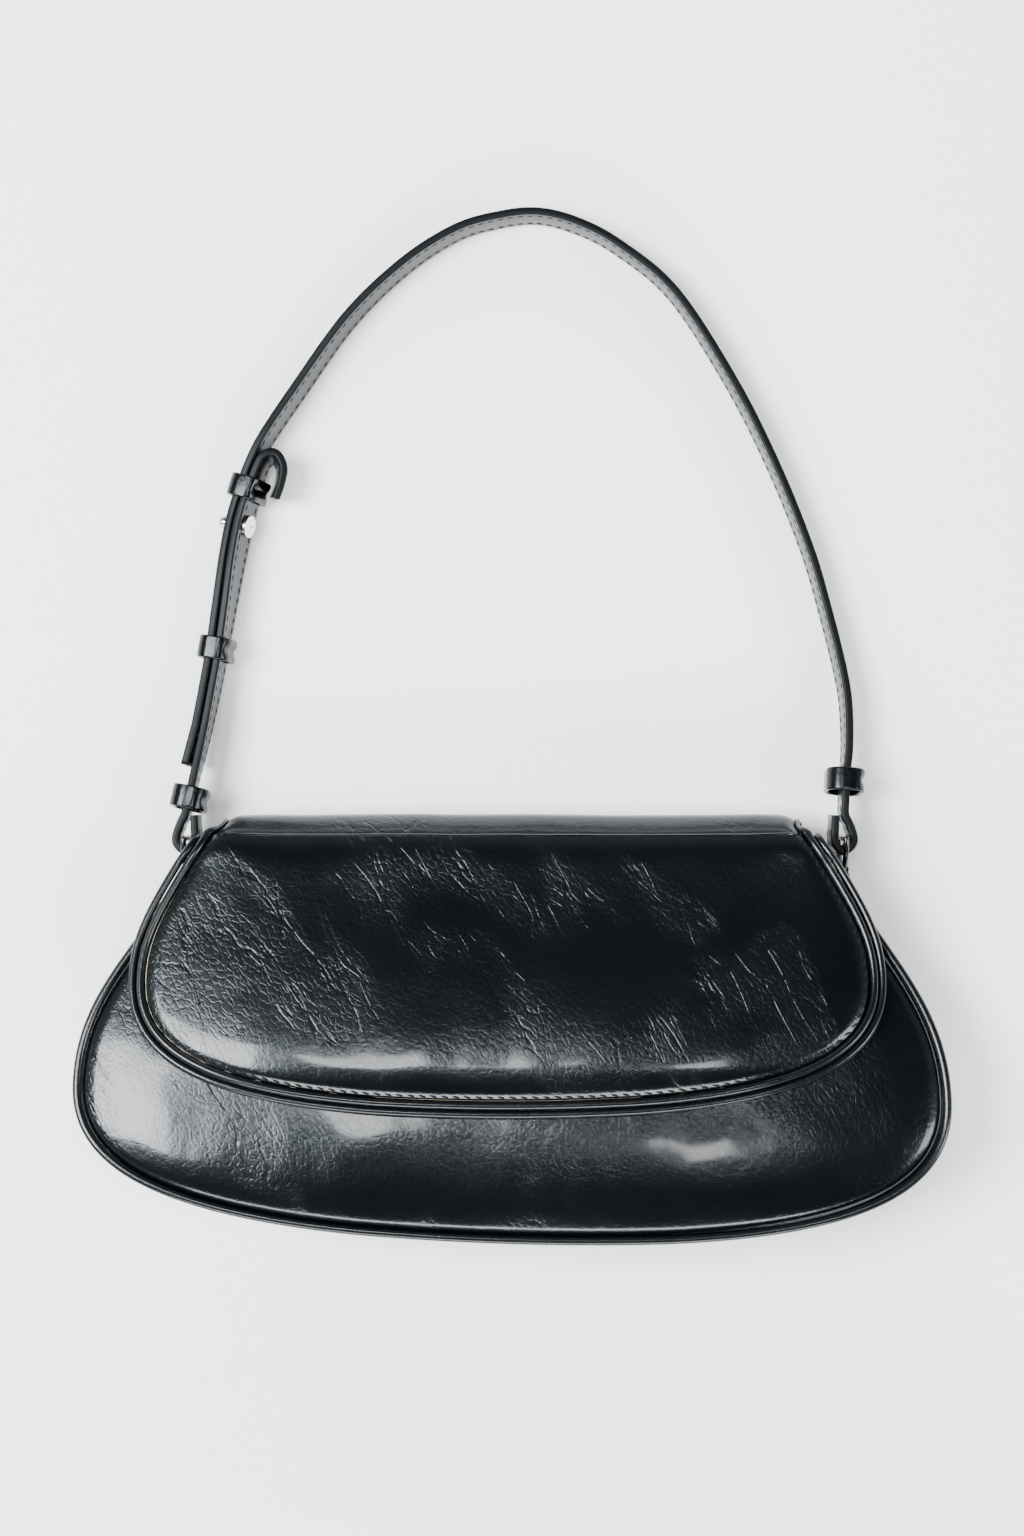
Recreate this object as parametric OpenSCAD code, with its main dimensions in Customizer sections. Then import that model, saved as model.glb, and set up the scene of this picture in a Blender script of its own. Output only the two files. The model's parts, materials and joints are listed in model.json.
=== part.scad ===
// Baguette shoulder bag with a flap, lying on its back with its front up.
// X runs across the bag, Y from its bottom edge towards the strap, Z out of its front.

/* [Body] */
// Width over the front piping
body_w = 300; // [270:2:320]
// Height from the bottom piping to the top of the roll
body_h = 145; // [138:1:155]
// Height of the widest point above the bottom
belly_h = 50; // [44:1:58]
// Depth of the front rim at the bottom of the bag
depth_bottom = 50; // [44:1:60]
// How far the front panel swells out of its rim
dome = 8; // [4:0.5:11]
// How far the right bottom corner hangs lower than a level one
body_lean = 4.5; // [0:0.5:6]
// Thickness of the outer leather
leather_t = 1.6; // [1.2:0.1:2]
// Thickness of the lining cloth
lining_t = 0.8; // [0.6:0.1:1]
// Thickness of the stiffening board
board_t = 1; // [0.8:0.1:1.4]
// Diameter of the piping
piping_d = 3.2; // [2.6:0.1:3.6]
// How far below the roll's axis the front panel ends, under the flap
mouth_drop = 11; // [7:1:19]

/* [Flap] */
// Widest half width of the flap
flap_half = 129.6; // [122:0.4:131]
// Height of the flap's widest point
flap_belly_h = 88.5; // [84:0.5:94]
// Height of the flap's lower edge above the bottom
flap_low = 43; // [38:1:52]
// How far the flap sits to the left
flap_shift = 1.6; // [0:0.2:2.4]
// Radius of the roll over the top edge
roll_r = 16; // [14.5:0.5:17]
// Angle up the roll at which the flap folds
crease_angle = 48; // [40:1:56]
// Diameter of the two beads along the flap's edge
bead_d = 2.8; // [2.2:0.1:3.2]

/* [Strap] */
// Width of the strap
strap_w = 12; // [10:0.5:12.5]
// Thickness of the strap's two plies
strap_t = 2.8; // [2:0.1:3]
// Height of the strap's crest above the bag's bottom
strap_crest = 357; // [340:1:380]
// Free height in the strap's loops for the ring's bar
loop_gap = 3.7; // [3.4:0.1:3.8]

/* [Fittings] */
// Wire diameter of the rings at the bag's top corners
ring_wire = 2; // [1.6:0.1:2.4]
// Radius of the ring's arc at the middle of the wire
ring_r = 11.3; // [11:0.1:11.5]
// Height of the ring's centre above the ground
ring_z = 15; // [14:0.5:16]
// Width of the leather tab that holds a ring
tab_w = 5; // [4:0.5:5.5]
// Wall of a keeper
keeper_wall = 1.3; // [1:0.1:1.6]
// Length of a keeper along the strap
keeper_len = 8; // [6:0.5:9]
// Diameter of the stud's slotted base
stud_base_d = 7.8; // [6.5:0.1:8.5]
// Diameter of the stud's ball
stud_ball_d = 5; // [4:0.1:6]
// Diameter of the stud's shank
stud_shank_d = 3; // [2.4:0.1:3.2]
// Distance between the holes of the strap
hole_pitch = 18; // [14:1:20]
// Diameter of the magnetic snap
snap_d = 14; // [12:1:18]
// Height of the snap above the bottom edge
snap_y = 67; // [63:1:72]

/* [Hidden] */

leather_colour = "#15181b";
edge_colour = "#1d2023";
lining_colour = "#2f2c2a";
board_colour = "#8c8478";
metal_colour = "#b9bbbd";

gap = 0.3; // between neighbours on other bodies and layers
seat = 0.2; // between faces that lie on each other
half_w = body_w / 2;

// Side of the bag as two cubic curves that meet at the widest point
low_handle = 0.666 * belly_h;
low_reach = 0.733 * half_w;
up_handle = 40;
shoulder_in = 33.3; // handle of the upper curve, from the widest side and from the top
shoulder_down = 39.3;
top_in = 43; // the roll is narrower than the body by this much on each side
up_in = [half_w - shoulder_in, body_h - shoulder_down];
top_half = half_w - top_in;
swell_fall_y = 60; // height at which the swelling starts to flatten
body_low = [[half_w, belly_h], [half_w, belly_h - low_handle], [low_reach, 0], [0, 0]];
body_up = [[half_w, belly_h], [half_w, belly_h + up_handle], up_in, [top_half, body_h]];
flap_curve_low = [
  [flap_half, flap_belly_h], [flap_half, flap_belly_h - 32], [0.7 * flap_half, flap_low], [0, flap_low]
];
flap_curve_up = [
  [flap_half, flap_belly_h], [flap_half, flap_belly_h + 18],
  [flap_half - 7.8, flap_belly_h + 28], [top_half - 1.2, body_h - 1]
];

// Roll over the top edge: its axis runs along X
roll_y = body_h - roll_r;
roll_z = roll_r + seat;
front_top = roll_y - mouth_drop;
crease_gap = 2; // in degrees, between the roll and the flap

flap_t = leather_t + board_t + lining_t + 2 * seat;
flap_lift = 1.3; // from the front panel's leather to the flap's lining
depth_top = roll_z + roll_r - flap_t - flap_lift;

N_LOW = 11; // steps along the lower curve of a side
N_UP = 9; // steps along the upper curve
N_ACROSS = 16; // steps across a panel
low_end = 0.82; // where the lower curve hands over to the flat bottom
bottom_us = [-0.66, -0.33, 0, 0.33, 0.66];

ROLL_STEPS = 14;
binding_w = 2;
pad_t = 0.9; // between the front's leather and its lining
pocket_w = 120;
pocket_h = 66;
pocket_y = 30;
base_board_y = 20; // the base board ends where the bottom turns up
base_board_half = 110;
flap_crown = 2.6; // how far the padded flap stands off the front panel
flap_edge = 2 * bead_d + seat; // from the flap's rim to its padded panel
side_x = half_w - 35.2; // from the middle to a ring
ring_y = body_h - 8.5;
strap_shift = 1; // the strap sits this far to the right
tab_t = 2.4;
tab_wall = 0.8;
tab_high = roll_y - 12;
tab_low = roll_y - 20;
keeper_half_w = strap_w / 2 + 1.15; // half the bore across the strap
left_keeper_half_t = 5; // half the bores through the strap's thickness
right_keeper_half_t = 5.4;
middle_keeper_room = 1.3; // past the two straps inside a keeper
upper_keeper_room = 1.3;
keeper_flat = 1.2; // flat part of a bore's short side
STRAP_STEPS = 3;
spare_holes = 2; // below the one with the stud
left_keeper_up = 13.8; // keepers and stud, above the ring's bar
right_keeper_up = 19.8;
run_share = 0.585; // where the doubled run ends, as a share of the way up to the crest
run_top = run_share * (strap_crest - ring_y);
middle_keeper_up = run_top - 62.8;
upper_keeper_up = run_top - 6.5;
stud_up = run_top - 18.9;

shift_y = -(strap_crest + strap_t / 2) / 2; // puts the origin under the middle of the whole

function bez(p, t) =
  pow(1 - t, 3) * p[0] + 3 * pow(1 - t, 2) * t * p[1] + 3 * (1 - t) * t * t * p[2] + pow(t, 3) * p[3];
function t_at(p, y, lo = 0, hi = 1, n = 18) =
  n == 0 ? (lo + hi) / 2 :
  let (mid = (lo + hi) / 2)
  bez(p, mid)[1] < y ? t_at(p, y, mid, hi, n - 1) : t_at(p, y, lo, mid, n - 1);
function unit(v) = v / norm(v);
function flat(rows) = [for (row = rows) for (p = row) p];
function clamp01(v) = max(0, min(1, v));
function smooth(v) = let (c = clamp01(v)) c * c * (3 - 2 * c);

// Points up one side, from the flat bottom to a height
function side(low, up, top_y) = concat(
  [for (k = [0 : N_LOW - 1]) bez(low, low_end * (1 - k / N_LOW))],
  let (t_top = t_at(up, top_y))
  [for (k = [0 : N_UP]) bez(up, t_top * k / N_UP)]
);
// The same points drawn in by a distance, square to the curve
function drawn_in(points, d) = [
  for (i = [0 : len(points) - 1])
  let (
    a = points[max(0, i - 1)],
    b = points[min(len(points) - 1, i + 1)],
    along = unit(b - a)
  )
  points[i] + d * [-along[1], along[0]]
];
function low_row(s) = [for (u = bottom_us) [u * s[0][0], s[0][1] - (1 - u * u) * bottom_bow(s)]];
function bottom_bow(s) = (s[1][1] - s[0][1]) * 0.9;

// Rows across a panel, each from the left side to the right one
function rows_of(s) = [
  for (i = [0 : len(s) - 1])
  [for (j = [0 : N_ACROSS])
    let (u = 2 * j / N_ACROSS - 1)
    [u * s[i][0], s[i][1] - (i == 0 ? (1 - u * u) * bottom_bow(s) : 0), u]]
];
// One line down the right side, over the bottom and up the left side
function around(s) = concat(
  [for (i = [len(s) - 1 : -1 : 0]) s[i]],
  [for (p = low_row(s)) [-p[0], p[1]]],
  [for (p = s) [-p[0], p[1]]]
);
function leaned(p) = [p[0], p[1] - body_lean * p[0] / half_w * clamp01(1 - p[1] / body_h)];

// Height of the front rim, and of the swelling on it
function rim_z(y) = depth_bottom + (depth_top - depth_bottom) * y / roll_y;
function swell(u, y) =
  dome * (1 - pow(abs(u), 3)) * pow(sin(90 * clamp01(y / 38)), 0.8) * (1 - smooth((y - swell_fall_y) / (roll_y - swell_fall_y)));
function body_half_at(y) =
  y < belly_h ? bez(body_low, 1 - t_low(y))[0] : bez(body_up, t_at(body_up, y))[0];
function t_low(y, lo = 0, hi = 1, n = 18) =
  n == 0 ? (lo + hi) / 2 :
  let (mid = (lo + hi) / 2)
  bez(body_low, 1 - mid)[1] < y ? t_low(y, mid, hi, n - 1) : t_low(y, lo, mid, n - 1);
function skin_z(x, y) =
  let (yy = max(0, min(y, roll_y)))
  rim_z(yy) + swell(min(1, abs(x) / body_half_at(yy)), yy);

// Closed shell between an upper and a lower grid of points
module shell(top, bottom) {
  rows = len(top);
  cols = len(top[0]);
  n = rows * cols;
  quads = concat(
    [for (i = [0 : rows - 2]) for (j = [0 : cols - 2])
      [i * cols + j, (i + 1) * cols + j, (i + 1) * cols + j + 1, i * cols + j + 1]],
    [for (i = [0 : rows - 2]) for (j = [0 : cols - 2])
      [n + i * cols + j, n + i * cols + j + 1, n + (i + 1) * cols + j + 1, n + (i + 1) * cols + j]],
    [for (i = [0 : rows - 2]) [(i + 1) * cols, i * cols, n + i * cols, n + (i + 1) * cols]],
    [for (i = [0 : rows - 2]) let (a = i * cols + cols - 1, b = a + cols) [a, b, n + b, n + a]],
    [for (j = [0 : cols - 2]) [j, j + 1, n + j + 1, n + j]],
    [for (j = [0 : cols - 2]) let (a = (rows - 1) * cols + j) [a + 1, a, n + a, n + a + 1]]
  );
  polyhedron(
    points = concat(flat(top), flat(bottom)),
    faces = [for (q = quads) for (f = [[q[0], q[1], q[2]], [q[0], q[2], q[3]]]) f]
  );
}

// Closed tube through rings of points
module tube(rings) {
  m = len(rings[0]);
  n = len(rings);
  sides = [
    for (i = [0 : n - 2]) for (j = [0 : m - 1])
    let (a = i * m + j, b = i * m + (j + 1) % m)
    for (f = [[a, b, b + m], [a, b + m, a + m]]) f
  ];
  polyhedron(
    points = flat(rings),
    faces = concat(
      sides,
      [for (j = [1 : m - 2]) [0, j + 1, j]],
      [for (j = [1 : m - 2]) let (k = (n - 1) * m) [k, k + j, k + j + 1]]
    )
  );
}

// Rings of a round cord along a path
function cord_rings(path, d, m = 8) = [
  for (i = [0 : len(path) - 1])
  let (
    along = unit(path[min(len(path) - 1, i + 1)] - path[max(0, i - 1)]),
    out = unit(cross(along, [0, 0, 1])),
    up = cross(out, along)
  )
  [for (k = [0 : m - 1]) path[i] + d / 2 * (cos(360 * k / m) * out + sin(360 * k / m) * up)]
];

// Body of the bag
body_side = side(body_low, body_up, roll_y - 6);
panel_side = side(body_low, body_up, front_top);
back_in = 2; // the back is drawn in from the front by this much
wall_in = piping_d - leather_t; // the gusset stands inside the piping's outer half

function panel_grid(s, z_down) = [
  for (row = rows_of(s)) [for (p = row) let (q = leaned(p)) [q[0], q[1], skin_z(p[0], p[1]) - z_down]]
];

module front_panel() {
  s = drawn_in(panel_side, piping_d);
  color(leather_colour) shell(panel_grid(s, 0), panel_grid(s, leather_t));
}

module front_lining() {
  s = drawn_in(panel_side, piping_d + leather_t + lining_t + 2 * seat);
  color(lining_colour)
    shell(panel_grid(s, leather_t + pad_t), panel_grid(s, leather_t + pad_t + lining_t));
}

// Flat outline of the back, drawn in by a distance
module back_shape(d) {
  s = drawn_in(side(body_low, body_up, roll_y), back_in + d);
  polygon([for (p = around(s)) leaned(p)]);
}

module back_panel() {
  color(leather_colour)
    linear_extrude(leather_t) back_shape(piping_d);
}

module back_board() {
  color(board_colour)
    translate([0, 0, leather_t + seat])
      linear_extrude(board_t)
        difference() {
          back_shape(piping_d + leather_t + gap);
          translate([-body_w, roll_y - 4]) square([2 * body_w, body_h]);
        }
}

module back_lining() {
  color(lining_colour)
    translate([0, 0, leather_t + board_t + 2 * seat])
      linear_extrude(lining_t)
        difference() {
          back_shape(piping_d + leather_t + gap);
          translate([-body_w, roll_y - 4]) square([2 * body_w, body_h]);
        }
}

// Upright wall between the back and the front rim, drawn in by a distance
function edge_line(d) = [for (p = around(drawn_in(body_side, d))) leaned(p)];
function wall_rings(d, t, low_z, down) =
  let (
    front_out = edge_line(d),
    front_in = edge_line(d + t),
    back_out = edge_line(d + back_in),
    back_inside = edge_line(d + back_in + t)
  )
  [
    for (i = [0 : len(front_out) - 1])
    let (z = rim_z(front_out[i][1]) - down)
    [
      [front_in[i][0], front_in[i][1], z], [front_out[i][0], front_out[i][1], z],
      [back_out[i][0], back_out[i][1], low_z], [back_inside[i][0], back_inside[i][1], low_z]
    ]
  ];

module gusset() {
  color(leather_colour)
    tube(wall_rings(wall_in - seat, leather_t, piping_d + seat, piping_d + seat));
}

module gusset_lining() {
  color(lining_colour)
    tube(wall_rings(
      wall_in + leather_t + seat, lining_t,
      leather_t + board_t + lining_t + 3 * seat, piping_d + 2 * lining_t
    ));
}

module front_piping() {
  s = drawn_in(body_side, piping_d / 2);
  path = [for (p = around(s)) let (q = leaned(p)) [q[0], q[1], rim_z(q[1]) - piping_d / 2 + 0.6]];
  color(edge_colour) tube(cord_rings(path, piping_d - seat));
}

module back_piping() {
  s = drawn_in(body_side, back_in + piping_d / 2);
  path = [for (p = around(s)) let (q = leaned(p)) [q[0], q[1], piping_d / 2]];
  color(edge_colour) tube(cord_rings(path, piping_d - seat));
}

// Turned edge along the front of the mouth
module mouth_binding() {
  s = drawn_in(panel_side, piping_d);
  row = rows_of(s)[len(s) - 1];
  deep = leather_t + pad_t + lining_t;
  path = [for (p = row) let (q = leaned(p)) [0.97 * q[0], q[1] + seat + binding_w / 2, skin_z(p[0], p[1])]];
  color(edge_colour)
    tube([
      for (q = path)
      [for (c = [[1, -deep], [-1, -deep], [-1, gap], [1, gap]]) q + [0, c[0] * binding_w / 2, c[1]]]
    ]);
}

// Leather that rolls over the top edge, from the back to the crease
module top_roll() {
  wide = top_half - 0.5;
  inner = roll_r - leather_t - lining_t;
  color(leather_colour)
    tube([
      for (k = [0 : ROLL_STEPS])
      let (a = -90 + (crease_angle + 90) * k / ROLL_STEPS)
      [for (c = [[-wide, inner], [-wide, roll_r], [wide, roll_r], [wide, inner]])
        [c[0], roll_y + c[1] * cos(a), roll_z + c[1] * sin(a)]]
    ]);
}

// Patch sewn on the back's lining, open towards the mouth
module slip_pocket() {
  color(lining_colour)
    translate([-pocket_w / 2, pocket_y, leather_t + board_t + lining_t + 3 * seat])
      linear_extrude(lining_t) square([pocket_w, pocket_h]);
}

// Board in the bottom of the gusset
module base_board() {
  rings = wall_rings(
    wall_in + leather_t + lining_t + 2 * seat, board_t,
    leather_t + board_t + lining_t + 5 * seat, piping_d + 3 * pad_t
  );
  color(board_colour)
    tube([for (r = rings) if (r[1][1] < base_board_y && abs(r[1][0]) < base_board_half) r]);
}

// Flap, from the crease down over the front
flap_top_y = roll_y + roll_r * cos(crease_angle + crease_gap);
function flap_side(d, top_y = flap_top_y) = drawn_in(side(flap_curve_low, flap_curve_up, top_y), d);
function crown(x, y) =
  flap_crown * (1 - pow(min(1, abs(x) / flap_half), 4))
  * smooth((y - flap_low) / 18) * (1 - smooth((y - flap_belly_h) / (roll_y - flap_belly_h)));
function flap_point(x, y, down) =
  let (a = acos(clamp01((y - roll_y) / roll_r)))
  y > roll_y
    ? [x - flap_shift, roll_y + (roll_r - down) * cos(a), roll_z + (roll_r - down) * sin(a)]
    : [x - flap_shift, y, skin_z(x - flap_shift, y) + flap_lift + flap_t + crown(x, y) - down];
function flap_grid(d, down, top_y = flap_top_y) = [
  for (row = rows_of(flap_side(d, top_y))) [for (p = row) flap_point(p[0], min(p[1], top_y), down)]
];

module flap_panel() {
  color(leather_colour) shell(flap_grid(flap_edge, 0), flap_grid(flap_edge, leather_t));
}

module flap_board() {
  color(board_colour)
    difference() {
      shell(
        flap_grid(flap_edge + gap, leather_t + seat, roll_y - 2),
        flap_grid(flap_edge + gap, leather_t + seat + board_t, roll_y - 2)
      );
      at_snap(0) cylinder(h = 4 * flap_t, d = snap_d - 2 + 2 * gap, center = true, $fn = 48);
    }
}

module flap_lining() {
  d = bead_d + seat;
  color(lining_colour)
    shell(flap_grid(d, flap_t - lining_t), flap_grid(d, flap_t));
}

module flap_bead(d, down) {
  path = [for (p = around(flap_side(d))) flap_point(p[0], min(p[1], flap_top_y), down)];
  color(edge_colour) tube(cord_rings(path, bead_d - seat));
}
module flap_inner_bead() { flap_bead(1.5 * bead_d + seat, bead_d / 2 + 0.1); }
module flap_outer_bead() { flap_bead(bead_d / 2, flap_t - bead_d / 2); }

// Magnetic snap under the flap, square to the front panel
snap_slope = atan((skin_z(0, snap_y + 6) - skin_z(0, snap_y - 6)) / 12);
module at_snap(rise) {
  translate([0, snap_y, skin_z(0, snap_y)]) rotate([snap_slope, 0, 0]) translate([0, 0, rise]) children();
}
snap_gap = flap_lift + crown(0, snap_y);
snap_half = (snap_gap - 4 * seat - gap) / 2;

module snap_socket() {
  color(metal_colour)
    at_snap(2 * seat) difference() {
      cylinder(h = snap_half, d = snap_d, $fn = 48);
      translate([0, 0, snap_half / 2]) cylinder(h = snap_half, d = snap_d / 3, $fn = 32);
    }
}
module snap_socket_washer() {
  color(metal_colour)
    at_snap(-leather_t - pad_t + seat) cylinder(h = pad_t - 2 * seat, d = snap_d - 2, $fn = 48);
}
module snap_post() {
  color(metal_colour)
    at_snap(snap_gap - snap_half - 2 * seat) {
      cylinder(h = snap_half, d = snap_d, $fn = 48);
      translate([0, 0, -snap_half / 3]) cylinder(h = snap_half, d = snap_d / 3 - 2 * gap, $fn = 32);
    }
}
module snap_post_washer() {
  color(metal_colour)
    at_snap(snap_gap + lining_t + seat) cylinder(h = board_t - 2 * seat, d = snap_d - 2, $fn = 48);
}

// Rings at the top corners: the bar carries the strap, the arc turns in the tab
function ring_x(way) = way * side_x + strap_shift;
function body_point(way, y, d) =
  let (
    t = t_at(body_up, y),
    along = unit(bez(body_up, t + 0.01) - bez(body_up, t - 0.01)),
    p = bez(body_up, t) + d * [-along[1], along[0]]
  )
  leaned([way * p[0], p[1]]);

module ring(way) {
  color(metal_colour)
    translate([ring_x(way), ring_y, ring_z]) {
      rotate([0, 0, 180]) rotate([0, -90, 0])
        rotate_extrude(angle = 180, $fn = 64) translate([ring_r, 0]) circle(d = ring_wire, $fn = 24);
      cylinder(h = 2 * ring_r, d = ring_wire, center = true, $fn = 24);
      for (end = [-1, 1]) translate([0, 0, end * ring_r]) sphere(d = ring_wire, $fn = 24);
    }
}
module left_ring() { ring(-1); }
module right_ring() { ring(1); }

// Leather tab sewn to the gusset, with an eye round the ring's arc
tab_sag = ring_r - sqrt(pow(ring_r, 2) - pow(tab_w / 2, 2));
module bar_between(a, b, t) {
  translate(a) rotate(atan2(b[1] - a[1], b[0] - a[0])) translate([0, -t / 2]) square([norm(b - a), t]);
}
module tab(way) {
  eye = [ring_x(way), ring_y - ring_r + tab_sag / 2];
  eye_r = ring_wire / 2 + tab_sag / 2 + seat;
  out = wall_in - seat - gap - tab_t / 2;
  high = body_point(way, tab_high, out);
  low = body_point(way, tab_low, out);
  color(leather_colour)
    translate([0, 0, ring_z - tab_w / 2])
      linear_extrude(tab_w)
        difference() {
          union() {
            translate(eye) circle(r = eye_r + tab_wall, $fn = 32);
            bar_between(eye + [0.8 * way, 0], high, tab_t);
            bar_between(high, low, tab_t);
            translate(high) circle(d = tab_t, $fn = 24);
          }
          translate(eye) circle(r = eye_r, $fn = 32);
        }
}
module left_tab() { tab(-1); }
module right_tab() { tab(1); }

// Strap: curves through points of [x, y, z, lean], in the bag's own frame
function spline(p, steps) = concat(
  [for (i = [0 : len(p) - 2])
    let (a = p[max(0, i - 1)], b = p[i], c = p[i + 1], d = p[min(len(p) - 1, i + 2)])
    for (k = [0 : steps - 1])
    let (t = k / steps)
    0.5 * (2 * b + (c - a) * t + (2 * a - 5 * b + 4 * c - d) * t * t
      + (3 * b - a - 3 * c + d) * t * t * t)],
  [p[len(p) - 1]]
);
function xyz(p) = [p[0], p[1], p[2]];
function axes_at(path, i) =
  let (
    along = unit(xyz(path[min(len(path) - 1, i + 1)]) - xyz(path[max(0, i - 1)])),
    side = unit(cross(along, [0, 0, 1])),
    up = cross(side, along),
    lean = path[i][3]
  )
  [cos(lean) * side - sin(lean) * up, along, cos(lean) * up + sin(lean) * side];
function band_rings(path, w, t) = [
  for (i = [0 : len(path) - 1])
  let (f = axes_at(path, i))
  [for (c = [[1, -1], [1, 1], [-1, 1], [-1, -1]])
    xyz(path[i]) + c[0] * t / 2 * f[0] + c[1] * w / 2 * f[2]]
];
// A loop round the ring's bar, from its sewn end to the leg that leaves it
half_gap = loop_gap / 2;
mid_gap = half_gap + strap_t / 2;
loop_shape = [
  [-mid_gap + 0.3, 8], [-mid_gap + 0.2, 4], [-mid_gap + 0.2, -1.6], [-0.2, -half_gap - 2.7],
  [mid_gap - 0.4, -2.4], [mid_gap + 0.2, 0.4], [mid_gap - 1.2, 4.8], [0.5, 8.2]
];
function loop_points(way) = [
  for (p = loop_shape) [ring_x(way) + way * p[0], ring_y + p[1], ring_z, 0]
];

// The rest of the strap: x over the ring's distance, y as a share of the way up to the crest
function placed(points) = [
  for (p = points)
  [p[0] * side_x, ring_y + p[1] * (strap_crest - ring_y), strap_w / 2 + 0.4 + p[2], p[3]]
];
right_leg = placed([
  [1.014, 0.062, 8.4, 0], [1.018, 0.099, 7.2, 0], [1.026, 0.139, 6, 2], [1.027, 0.184, 4.6, 4],
  [1.022, 0.229, 3.2, 5], [1.005, 0.279, 1.8, 6]
]);
arc_right = placed([
  [0.965, 0.365, 0.4, 6], [0.911, 0.461, 0, 6], [0.81, 0.592, 0, 6], [0.679, 0.728, 0, 6],
  [0.501, 0.871, 0, 6]
]);
arc_top = placed([
  [0.331, 0.946, 0, 6], [0.2, 0.982, 0, 7], [0.078, 0.9975, 0.1, 7], [-0.044, 0.991, 0.1, 8],
  [-0.174, 0.97, 0.2, 9]
]);
arc_left = placed([
  [-0.331, 0.917, 0.3, 11], [-0.501, 0.831, 0.5, 13], [-0.666, 0.71, 1.2, 14], [-0.762, 0.634, 2.2, 13]
]);
left_leg = placed([
  [-0.984, 0.061, 8.2, 0], [-0.97, 0.098, 7.2, 0], [-0.954, 0.134, 6.2, -2]
]);
run = placed([
  [-0.937, 0.175, 5.2, -4], [-0.915, 0.234, 4, -6], [-0.895, 0.293, 3.1, -7], [-0.871, 0.37, 2.7, -12],
  [-0.845, 0.451, 2.7, -19], [-0.819, 0.515, 2.7, -20], [-0.778, run_share, 2.7, -12]
]);
curl = [
  for (p = [[2.6, 4.6], [5.9, 5.2], [8, 1.2], [7.2, -4.4], [5.4, -9.4]])
  [run[len(run) - 1][0] + p[0], run[len(run) - 1][1] + p[1], run[len(run) - 1][2], -12]
];
short_points = concat(loop_points(-1), left_leg, run, curl);
short_path = spline(short_points, STRAP_STEPS);

// The long strap lies on the outer face of the run and comes down it
ply = strap_t + 0.4;
run_from = (len(loop_shape) + len(left_leg)) * STRAP_STEPS;
run_to = run_from + (len(run) - 1) * STRAP_STEPS;
run_outside = [
  for (i = [run_to : -1 : run_from])
  let (p = xyz(short_path[i]) - ply * axes_at(short_path, i)[0])
  [p[0], p[1], p[2], -short_path[i][3]]
];
tail_end = run_outside[len(run_outside) - 1] + [-3.4, -14, 1.2, 2];
long_path = concat(
  spline(concat(loop_points(1), right_leg, arc_right, arc_top, arc_left, [run_outside[0]]), STRAP_STEPS),
  [for (i = [1 : len(run_outside) - 1]) run_outside[i]],
  [tail_end]
);

// Place on a rising stretch of a path, given its height above the ring
function place_at(path, above, from) =
  let (
    y = ring_y + above,
    i = [for (k = [from : len(path) - 2]) if (path[k + 1][1] >= y) k][0],
    share = (y - path[i][1]) / (path[i + 1][1] - path[i][1])
  )
  [path[i] + share * (path[i + 1] - path[i]), axes_at(path, share < 0.5 ? i : i + 1)];
loop_end = len(loop_shape) * STRAP_STEPS - 2;
left_keeper_place = place_at(short_path, left_keeper_up, loop_end);
middle_keeper_place = place_at(short_path, middle_keeper_up, loop_end);
upper_keeper_place = place_at(short_path, upper_keeper_up, loop_end);
right_keeper_place = place_at(long_path, right_keeper_up, loop_end);
stud_place = place_at(short_path, stud_up, loop_end);

module on_strap(place) {
  p = place[0];
  f = place[1];
  multmatrix([
    [f[0][0], f[1][0], f[2][0], p[0]],
    [f[0][1], f[1][1], f[2][1], p[1]],
    [f[0][2], f[1][2], f[2][2], p[2]],
    [0, 0, 0, 1]
  ]) children();
}
module strap_hole(place, from, to) {
  on_strap(place)
    translate([from, 0, 0]) rotate([0, 90, 0])
      cylinder(h = to - from, d = stud_shank_d + 2 * seat, $fn = 24);
}

module long_strap() {
  color(leather_colour)
    difference() {
      tube(band_rings(long_path, strap_w, strap_t));
      for (k = [0 : spare_holes])
        strap_hole(place_at(short_path, stud_up - k * hole_pitch, loop_end), -2.2 * ply, -strap_t / 2);
    }
}
module short_strap() {
  color(leather_colour)
    difference() {
      tube(band_rings(short_path, strap_w, strap_t));
      strap_hole(stud_place, -strap_t, strap_t);
    }
}

// Screwed stud through both straps: a slotted base inside, a ball outside
module stud_base() {
  thick = 1.2;
  color(metal_colour)
    on_strap(stud_place)
      difference() {
        translate([strap_t / 2 + seat, 0, 0]) rotate([0, 90, 0]) cylinder(h = thick, d = stud_base_d, $fn = 48);
        translate([strap_t / 2 + seat + thick, 0, 0]) cube([thick, 0.8, stud_base_d / 2], center = true);
      }
}
module stud_ball() {
  reach = 1.5 * strap_t + 3 * seat; // from the short strap's middle to the ball's foot
  ball_r = stud_ball_d / 2;
  foot_r = ball_r * cos(50);
  centre = reach + 0.6 + ball_r * sin(50);
  color(metal_colour)
    on_strap(stud_place)
      rotate([0, -90, 0])
        rotate_extrude($fn = 32)
          polygon(concat(
            [[0, -strap_t / 2], [stud_shank_d / 2, -strap_t / 2], [stud_shank_d / 2, reach]],
            [[foot_r + 0.5, reach], [foot_r + 0.5, reach + 0.6]],
            [for (a = [-50 : 14 : 76]) [ball_r * cos(a), centre + ball_r * sin(a)]],
            [[0, centre + ball_r]]
          ));
}

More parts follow.
